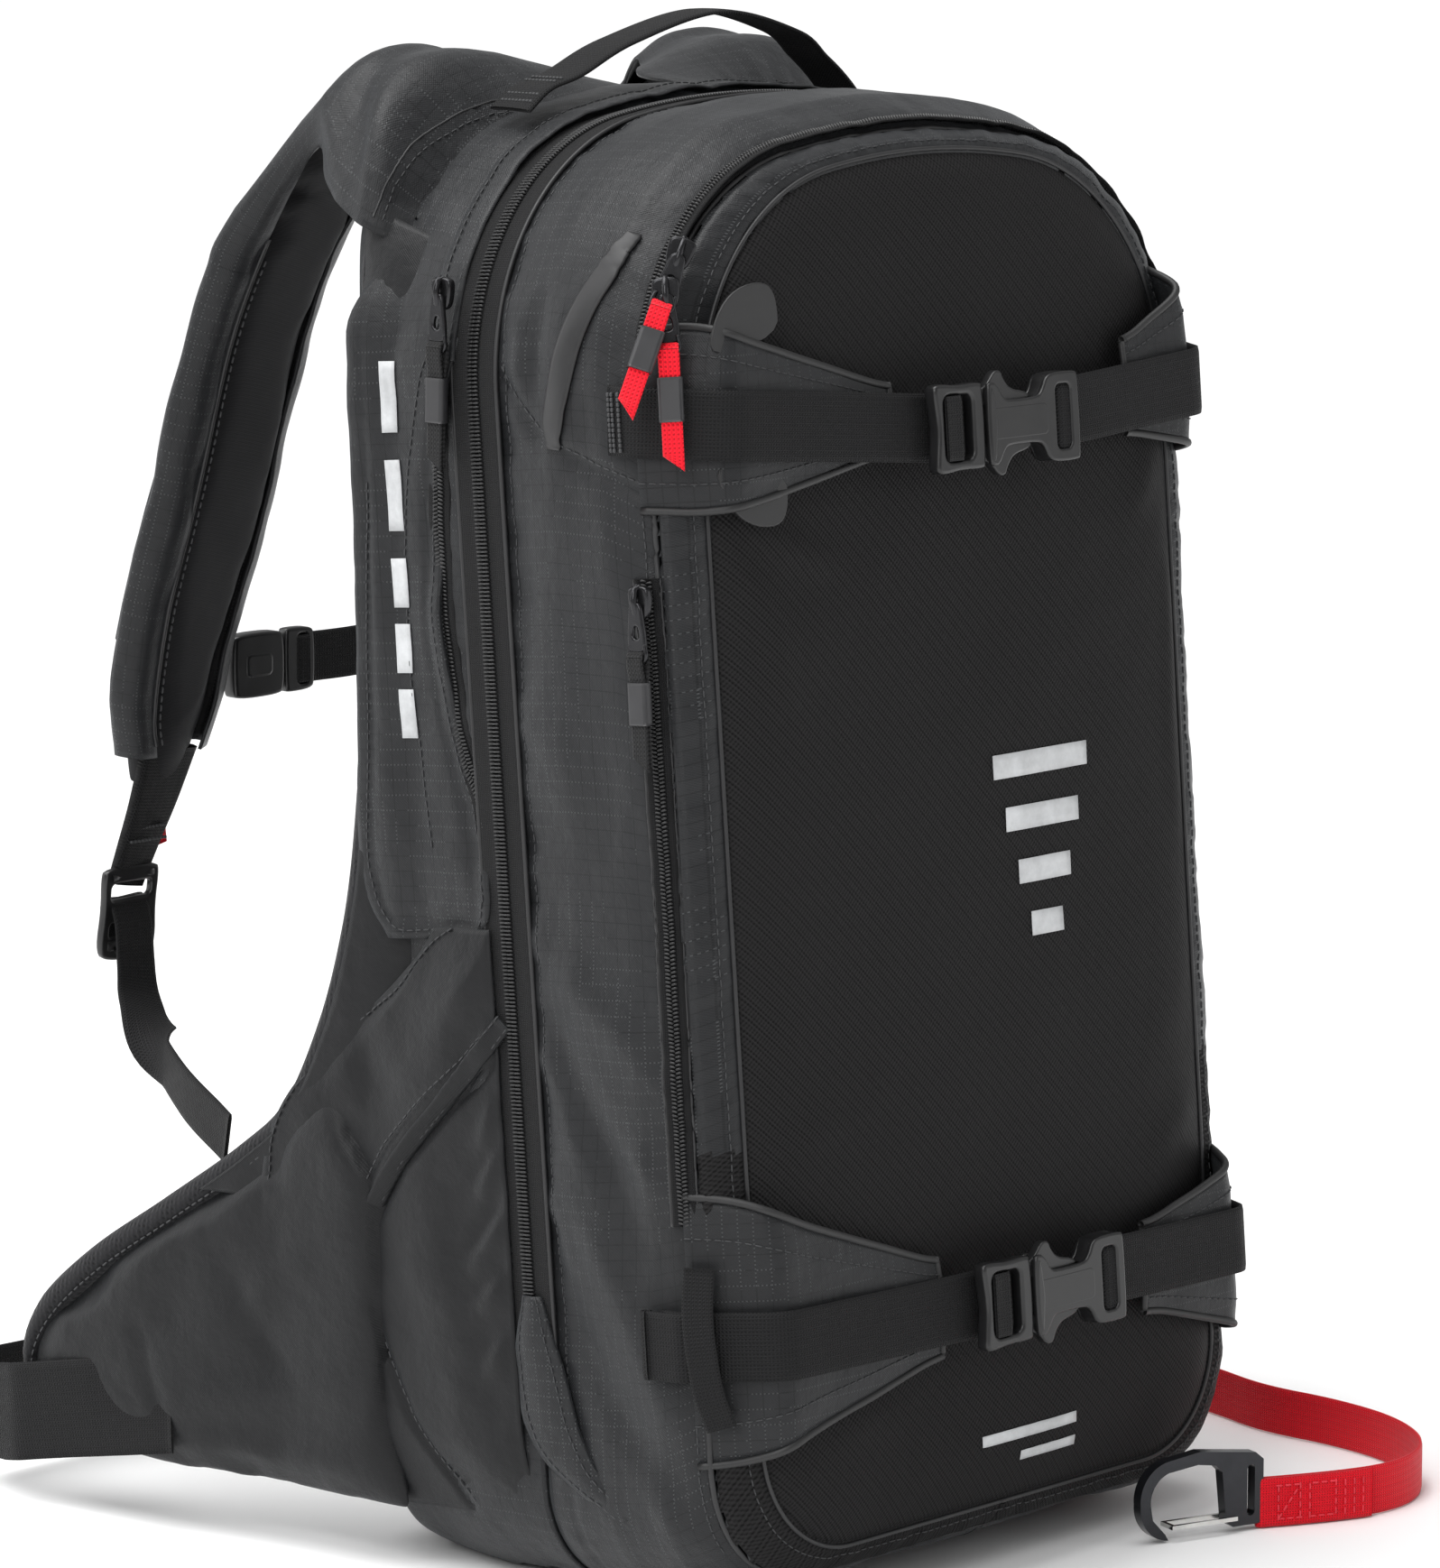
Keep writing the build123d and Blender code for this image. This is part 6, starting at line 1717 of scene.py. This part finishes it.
def side_pocket(side, tag):
    vs = np.linspace(27, 246, 96)
    far = np.interp(vs, *zip(*POCKET_BACK))
    far = np.convolve(np.pad(far, 5, mode="edge"), np.ones(11) / 11, "valid")
    share = np.linspace(0, 1, 60)
    w = -19.5 + (far[:, None] + 19.5) * share[None]
    v = np.broadcast_to(vs[:, None], w.shape)
    x = pocket_skin(w, v)
    edge = np.minimum(np.minimum(share[None] * 2, (1 - share[None]) * 3) * 40,
        np.minimum(v - 27, (246 - v)) * 0.9)
    lift = 3.0 * smooth(edge, 0, 26) + 0.8 * noise_at(lean(-150 + 0 * w, w, v), 40,
        2.1 + side) + 0.4 * noise_at(lean(-150 + 0 * w, w, v), 16, 7.1)
    lift += fold_height(w, v, REAR_FOLDS) + groove(w, v, POCKET_CURVE, 2.2, 2.0)
    lift += 1.8 * np.exp(-(distance_to(np.stack([w, v], -1), POCKET_HEM)[0] / 5) ** 2)
    hem_low = distance_to(np.stack([w + 2.6, v + 4.4], -1), POCKET_HEM)[0]
    lift -= 3.4 * np.exp(-(hem_low / 2.6) ** 2)
    lift *= smooth(edge, -1, 5)
    grid = lean(-(x + lift), w, v)
    grid = mirrored(grid, side)
    normals = normals_of(grid)
    flip = normals[40, 30][0] * side < 0
    shell(f"side_pocket_{tag}", grid, np.stack([w, v], -1) * MM, 1.0, "stretch", "harness", flip=flip)
    lay = surface_height(grid, normals * (-1 if flip else 1))

    def on_pocket(line, lift):
        return lay(mirrored(lean(np.full(len(line), -152), *line.T), side), lift)

    hem_line = spline(POCKET_HEM, 3)
    hem, up = on_pocket(hem_line, 0.4)
    ribbon(f"pocket_hem_{tag}", hem, np.cross(up, np.gradient(hem, axis=0)), 7.5, 1.3, "stretch", "harness",
        edge=0.4, crown=0.4)
    for place, offset in (("top", 3.2), ("low", -2.6)):
        at, up = on_pocket(hem_line + np.array([0.55, 0.83]) * offset, 1.1)
        stitches(f"pocket_hem_stitching_{tag}_{place}", at, up, "harness", height=0.6, width=0.5)
    at, up = on_pocket(spline(POCKET_CURVE, 3) + np.array([-3.0, 0]), 0.3)
    stitches(f"pocket_curve_stitching_{tag}", at, up, "harness", height=0.6, width=0.5)
    at, up = on_pocket(spline([(w - 3, v - 1) for v, w in POCKET_BACK[1:]], 3), 0.3)
    stitches(f"pocket_edge_stitching_{tag}", at, up, "harness", height=0.6, width=0.5)


for side, tag in SIDES:
    side_pocket(side, tag)

# Hip webbing with its bends, sewn to the wing
BELT_Z = 31


def hip_webbing(side, tag, end):
    route = rounded([(-171.6, 151), (-179.0, 190), (-184.4, 226), (-176, 262), (end, 262)], 14, 3)
    z = BELT_Z + 1.2 * np.sin(np.linspace(0, 5, len(route))) + 0.2 * np.maximum(0, 238 - route[:, 1])
    path = np.stack([route[:, 0], route[:, 1], z], -1) * MM
    inward = 0.22 * (1 - smooth(route[:, 1], 140, 205))
    across = np.stack([inward, 0 * inward, 1 + 0 * inward], -1)
    strap = ribbon(f"hip_belt_{tag}", mirrored(path, side), mirrored(across, side), 38, 1.6, "black_webbing",
        "harness", edge=0.6)
    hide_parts(f"hip_webbing_{tag}")


hip_webbing(-1, "left", -24)
hip_webbing(1, "right", -38)
buckle("hip_buckle", (0, 0.2625, BELT_Z * MM), (-1, 0, 0), (0, 0, 1), 49, 10.5, 38, "harness",
    ("hip_buckle_male", "hip_buckle_female"))

# ---------------------------------------------------------------- flaps over the zips

FLAP_FRONT = ((241, -11), (246, -17), (256, -20), (289, -16), (312, -9), (354, -3), (400, -5), (437, -13),
    (469, -21), (500, -24))
FLAP_BACK = ((241, 31), (246, 37), (257, 43), (270, 46), (303, 43), (354, 39), (437, 35), (500, 34))
AIRBAG_ZIP = ((-27, 256), (-21, 276), (-16, 295), (-9, 312), (-3.5, 354), (-4, 400), (-10, 440), (-24, 486))
FLAP_STITCHES = ((9, 275), (12, 301), (15, 354), (12, 400), (3, 437), (-10, 475))


def side_flap(side, tag):
    v = np.concatenate([np.linspace(241, 258, 8)[:-1], np.linspace(258, 500, 62)])
    front, rear = (np.interp(v, *zip(*edge)) for edge in (FLAP_FRONT, FLAP_BACK))
    front, rear = (np.convolve(np.pad(e, 2, mode="edge"), np.ones(5) / 5, "valid") for e in (front, rear))
    share = np.linspace(0, 1, 30)
    w = front[:, None] + (rear - front)[:, None] * share[None]
    height = np.broadcast_to(v[:, None], w.shape)
    base, up = on_rear_bag(lean(side * HALF_WIDTH + 0 * w, w, height).reshape(-1, 3))
    base, up = base.reshape(*w.shape, 3), up.reshape(*w.shape, 3)
    # its back part lies on the gusset behind the bag
    behind = (smooth(w, 12, 30) * (1 - smooth(height, 462, 500)))[..., None]
    base = base * (1 - behind) + lean(side * (148.8 + 0 * w), w, height) * behind
    up = unit(up * (1 - behind) + np.array([side, 0, 0]) * behind)
    near_edge = np.minimum(np.minimum(w - front[:, None], rear[:, None] - w), height - 241)
    lift = 2.6 + 0.9 * noise_at(base, 38, 5.5 + side) + 0.5 * noise_at(base, 15,
        2.5) - 0.8 * np.exp(-(near_edge - 7) ** 2 / 4)
    lift += 1.3 * np.exp(-((w - front[:, None]) / 7) ** 2) * np.sin(height / 17 + 2 * noise_at(base, 50, 1.0))
    lift = lift * (1 - 0.85 * smooth(height, 455, 498))
    grid = base + up * lift[..., None] * MM
    normals = normals_of(grid)
    flip = normals[40, 15][0] * side < 0
    flap = shell(f"airbag_flap_{tag}", grid, np.stack([w, height], -1) * MM, 1.5, "ripstop", "harness",
        flip=flip)
    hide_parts(f"side_flap_{tag}")
    lay = surface_height(grid, normals * (-1 if flip else 1))

    def on_flap(line, lift):
        line = spline(line, 2)
        return lay(lean(np.full(len(line), side * (HALF_WIDTH + 4)), line[:, 0], line[:, 1]), lift)

    edge_front = [(a + 3.4, b) for b, a in FLAP_FRONT[2:]]
    path, up = on_flap(edge_front, 0.1)
    stitches(f"flap_stitching_front_{tag}", path, up, "harness", height=0.5, width=0.5)
    path, up = on_flap(FLAP_STITCHES, 0.1)
    stitches(f"flap_stitching_{tag}", path, up, "harness", height=0.5, width=0.5)
    path, up = on_flap([(-16, 256), (-13, 247), (-6, 245), (14, 244.5), (28, 244.5), (36, 252), (40, 263),
        (41, 275), (38, 303), (34, 354), (29, 410)], 0.1)
    stitches(f"flap_stitching_low_{tag}", path, up, "harness", height=0.5, width=0.5)
    # the zip that the flap covers
    path, up = side_path(AIRBAG_ZIP, on_rear_bag, side, 0.9)
    across = unit(np.cross(up, np.gradient(path, axis=0)))
    coil_zip(f"airbag_zip_{tag}", path, up, across, (-5.5, 5.5), "harness", reach=2.8)
    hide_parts("airbag_zip")
    return on_flap, lay


_, left_flap_lay = side_flap(-1, "left")
side_flap(1, "right")

# Flap edge over the top, between the split zip and the yokes
EDGE_SHAPE = (HALF_WIDTH + 1.5, 0, CREST + 3.0, CROWN, CORNER, FOOT)
edge_path = arch_path(EDGE_SHAPE, -11.5, 452)
edge_path, _ = on_rear_bag(edge_path, 2.6)
ribbon("airbag_flap_edge", edge_path, depth_axis, 13, 1.4, "ripstop", "harness", edge=0.4, crown=0.5)
for place, offset in (("front", -4.4), ("rear", 2.8)):
    path, up = on_rear_bag(arch_path(EDGE_SHAPE, -11.5 + offset, 452), 3.7)
    stitches(f"flap_edge_stitching_{place}", path, up, "harness", height=0.5, width=0.5)

# Garage flap that covers the split zip's ends
GARAGE_OUTER = ((-24, 112), (-19, 89), (-20, 69), (-30, 50), (-61, 29))
GARAGE_INNER = ((-34, 112), (-43, 84), (-50, 60), (-58, 46), (-74, 34))
for side, tag in SIDES:
    outer, inner = evenly(GARAGE_OUTER, 40), evenly(GARAGE_INNER, 40)
    share = np.linspace(0, 1, 14)[None, :, None]
    flat = outer[:, None] * (1 - share) + inner[:, None] * share
    w, v = flat[..., 0], flat[..., 1]
    x = side * (149.6 - 5.0 * (1 - smooth(v, 16, 66)) - 0.05 * np.maximum(0, -w - 50))
    bulge = 2.4 * np.sin(np.clip(share[..., 0], 0.02, 0.98) * math.pi) ** 0.7 + 0.7 * noise_at(lean(x, w, v),
        16, 6.1 + side)
    grid = lean(x + side * bulge, w, v)
    normals = normals_of(grid)
    flip = normals[20, 7][0] * side < 0
    shell(f"zip_garage_{tag}", grid, flat * MM, 1.3, "ripstop", "booster", flip=flip)
    lay = surface_height(grid, normals * (-1 if flip else 1))
    for place, line in (("outer", outer * 0.86 + inner * 0.14), ("inner", outer * 0.16 + inner * 0.84)):
        path, up = lay(lean(np.full(40, side * 152.0), line[:, 0], line[:, 1]), 0.1)
        stitches(f"garage_stitching_{place}_{tag}", path, up, "booster", height=0.5, width=0.5)

# ---------------------------------------------------------------- haul loop

HAUL = np.array([(-91, 46.5, 539), (-80, 46, 546.5), (-64, 45.5, 551), (-36, 45, 562), (12, 45, 571.5),
    (54, 45, 563), (70, 45.5, 553), (80, 46, 546), (88, 46, 538.5), (94, 46, 530)])
haul_path = spline(HAUL * MM, 0.003)
haul = ribbon("haul_loop_webbing", haul_path, (0, 1, 0),
    np.interp(np.linspace(0, 1, len(haul_path)), [0, 0.2, 0.5, 0.8, 1], [21, 20, 18, 20, 21]), 1.7,
    "black_webbing", "harness", edge=0.6, crown=0.4)
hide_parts("haul_loop")
for k, shift in enumerate((-8, -4.5, 4.5, 8)):
    x = -80 + shift
    z = np.interp(x, HAUL[:, 0], HAUL[:, 2]) + 0.9
    line = np.stack([np.full(14, x), np.linspace(38, 54, 14), np.full(14, z)], -1) * MM
    stitches(f"haul_tack_{k}", line, (-0.4, 0, 1), "harness", length=1.5, gap=0.3, height=1.1, width=1.1)

# ---------------------------------------------------------------- leg strap's fold and box stitching

hook_end = leg_path[-1]
strap_back_way = unit(leg_path[-6] - leg_path[-1])
strap_face = unit(np.cross(strap_back_way, (0, 0, 1)))
if strap_face[1] > 0:
    strap_face = -strap_face
lengths = arc_length(leg_path[::-1])
fold_part = leg_path[::-1][lengths < 0.046]
fold_way = unit(np.gradient(fold_part, axis=0))
fold_face = unit(np.cross(fold_way, (0, 0, 1)))
fold_face *= np.sign((fold_face @ strap_face))[:, None]
turn = np.linspace(-math.pi / 2, math.pi / 2, 8)
nose = np.array([hook_end - strap_back_way * math.cos(a) * 1.9 * MM + strap_face * (math.sin(a) * 1.4 + 0.9)
    * MM for a in turn])
leg_fold = ribbon("leg_strap_fold", np.concatenate([nose, fold_part[1:] + fold_face[1:] * 2.1 * MM]),
    (0, 0, 1), LEG_WIDTH, 1.6, "red_webbing", "harness", edge=0.6)
for k, (a, b) in enumerate((((6, -6.5), (15, -6.5)), ((15, -6.5), (15, 6.5)), ((15, 6.5), (6, 6.5)),
        ((6, 6.5), (6, -6.5)), ((6, -6.5), (15, 6.5)), ((19, -6.5), (30, -6.5)), ((30, -6.5), (30, 6.5)),
        ((30, 6.5), (19, 6.5)), ((19, 6.5), (19, -6.5)), ((34, -7), (34, 7)), ((38, -7), (38, 7)),
        ((42, -7), (42, 7)))):
    at = lambda d, z: np.array([np.interp(d * MM, lengths[lengths < 0.06],
        leg_path[::-1][lengths < 0.06][:, j]) for j in range(3)]) + strap_face * 3.0 * MM + np.array([0, 0,
        z * MM])
    steps = np.linspace(0, 1, 8)
    line = np.array([at(a[0] + (b[0] - a[0]) * t, a[1] + (b[1] - a[1]) * t) for t in steps])
    stitches(f"leg_stitching_{k}", line, strap_face, "harness", material="red_thread",
        height=0.7, width=0.7)

# ---------------------------------------------------------------- generic reflective marks


def mark(name, corners, lay, place, body, thickness=0.25):
    """Thin print on a skin; corners are (left, low, right, high) in the skin's own plane."""
    x0, y0, x1, y1 = corners
    columns = max(4, int((x1 - x0) / 3))
    rows = max(4, int((y1 - y0) / 3))
    a, b = np.meshgrid(np.linspace(x0, x1, columns), np.linspace(y0, y1, rows))
    points, _ = lay(place(a.ravel(), b.ravel()), 0.45)
    grid = points.reshape(*a.shape, 3)
    normals = normals_of(grid)
    centre = np.array([0, 0, 0.26])
    flip = ((grid - centre) * normals).sum() < 0
    shell(name, grid, np.stack([a, b], -1) * MM, thickness, "reflective", body, flip=flip)


PANEL_MARK_DEPTH = -131.0  # in front of the ballistic panel, which the marks are laid back onto
FLAP_MARK_GAP = 3.0  # outside the left flap
PANEL_MARK_MIDDLE = 34
PANEL_MARK_HALF, LOW_MARK_HALF = 4.5, 2.2  # half heights
FLAP_MARK_BACK = (13.5, 20.5)


def before_panel(a, b):
    return lean(a, np.full(a.shape, PANEL_MARK_DEPTH), b)


def beside_flap(a, b):
    return lean(np.full(a.shape, -HALF_WIDTH - FLAP_MARK_GAP), a, b)


for k, (half, v) in enumerate(((27, 290), (21, 270), (15, 250), (9, 230))):
    corners = (PANEL_MARK_MIDDLE - half, v - PANEL_MARK_HALF, PANEL_MARK_MIDDLE + half, v + PANEL_MARK_HALF)
    mark(f"panel_mark_{k}", corners, on_panel, before_panel, "booster")
for k, (x0, x1, v) in enumerate(((-18, 36, 42), (4, 36, 32))):
    mark(f"panel_low_mark_{k}", (x0, v - LOW_MARK_HALF, x1, v + LOW_MARK_HALF), on_panel, before_panel,
        "booster")
for k, (v, length) in enumerate(((440, 26), (404, 26), (372, 18), (348, 18), (324, 18))):
    corners = (FLAP_MARK_BACK[0], v - length / 2, FLAP_MARK_BACK[1], v + length / 2)
    mark(f"flap_mark_{k}", corners, left_flap_lay, beside_flap, "harness")

# ---------------------------------------------------------------- inside the bags

# Walls that close the two bags at the split
for name, depth, material, body in (("booster_wall", SPLIT - 1.6, "lining", "booster"),
        ("airbag_bag_wall", SPLIT + 1.6, "lining", "harness")):
    outline = half_arch(HALF_WIDTH - 1.5, 1.5, CREST - 2.0, CROWN, CORNER, FOOT, (2, 14, 60, 30, 16))[1:]
    columns = np.linspace(-1, 1, 41)
    x = outline[:, :1] * -columns[None]
    v = np.broadcast_to(outline[:, 1:2], x.shape)
    sign = -1 if body == "booster" else 1
    grid = lean(x, depth + sign * (1.5 + 1.4 * noise_at(lean(x, depth, v), 60, 3.0 + sign))
        * smooth(np.minimum(HALF_WIDTH - np.abs(x), CREST - v), 2, 20), v)
    shell(name, grid, np.stack([x, v], -1) * MM, 0.8, material, body,
        flip=(normals_of(grid)[20, 20][1] * sign) > 0)

# Back of the airbag bag, behind the back panel
share = np.linspace(0.04, 1, 12)[:, None, None]
flat = np.array([0, 260]) + (full_arch(138.5, 5, 538.5, CROWN, 94, 39) - np.array([0, 260])) * share
flat = np.concatenate([flat, flat[:, :1]], 1)
grid = np.stack([flat[..., 0], np.full(flat.shape[:2], BACK_Y - 2.2), flat[..., 1]], -1) * MM
flip = normals_of(grid)[6, 60][1] < 0
shell("airbag_bag_back", grid, flat * MM, 1.0, "ripstop_dark", "harness", flip=flip)

# Folded airbag: a soft pleated bundle
low, high = (np.array(corner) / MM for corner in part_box("folded_airbag"))
middle, half = (low + high) / 2, (high - low) / 2 - np.array([3, 3, 3])
sections = []
turn = np.linspace(0, 2 * math.pi, 56, endpoint=False)
for t in np.linspace(-1, 1, 25):
    shrink = 1 - 0.12 * t ** 6
    y = middle[1] + np.sign(np.cos(turn)) * np.abs(np.cos(turn)) ** 0.6 * (half[1] * shrink + 1.6
        * np.sin(turn * 9))
    z = middle[2] + np.sign(np.sin(turn)) * np.abs(np.sin(turn)) ** 0.6 * half[2] * shrink
    sections.append(np.stack([np.full(56, middle[0] + t * half[0]), y, z], -1) * MM)
airbag = closed_loft("airbag_bundle", sections, "airbag_fabric")
inflate(airbag, 6, 3, 4)
at = points_of(airbag)
pleat = np.sin(at[:, 2] / 0.0085 * 2 * math.pi / 2 + 2.2 * noise_at(at, 60, 6.6)) * 1.3 + 0.8 * noise_at(at,
    18, 3.8)
at[:, 1] += np.sign(at[:, 1] - middle[1] * MM) * pleat * MM
set_points(airbag, at)
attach(airbag, "harness")
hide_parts("folded_airbag")

# ---------------------------------------------------------------- CAD nodes that stay: a finish for each

slot_of_node = {part["node"]: part["material_slot"] for part in frame["record"]["subparts"]}
for name, node in nodes.items():
    finish = materials.get(slot_of_node.get(name, ""))
    if finish and node.material_slots:
        for material_slot in node.material_slots:
            material_slot.material = finish
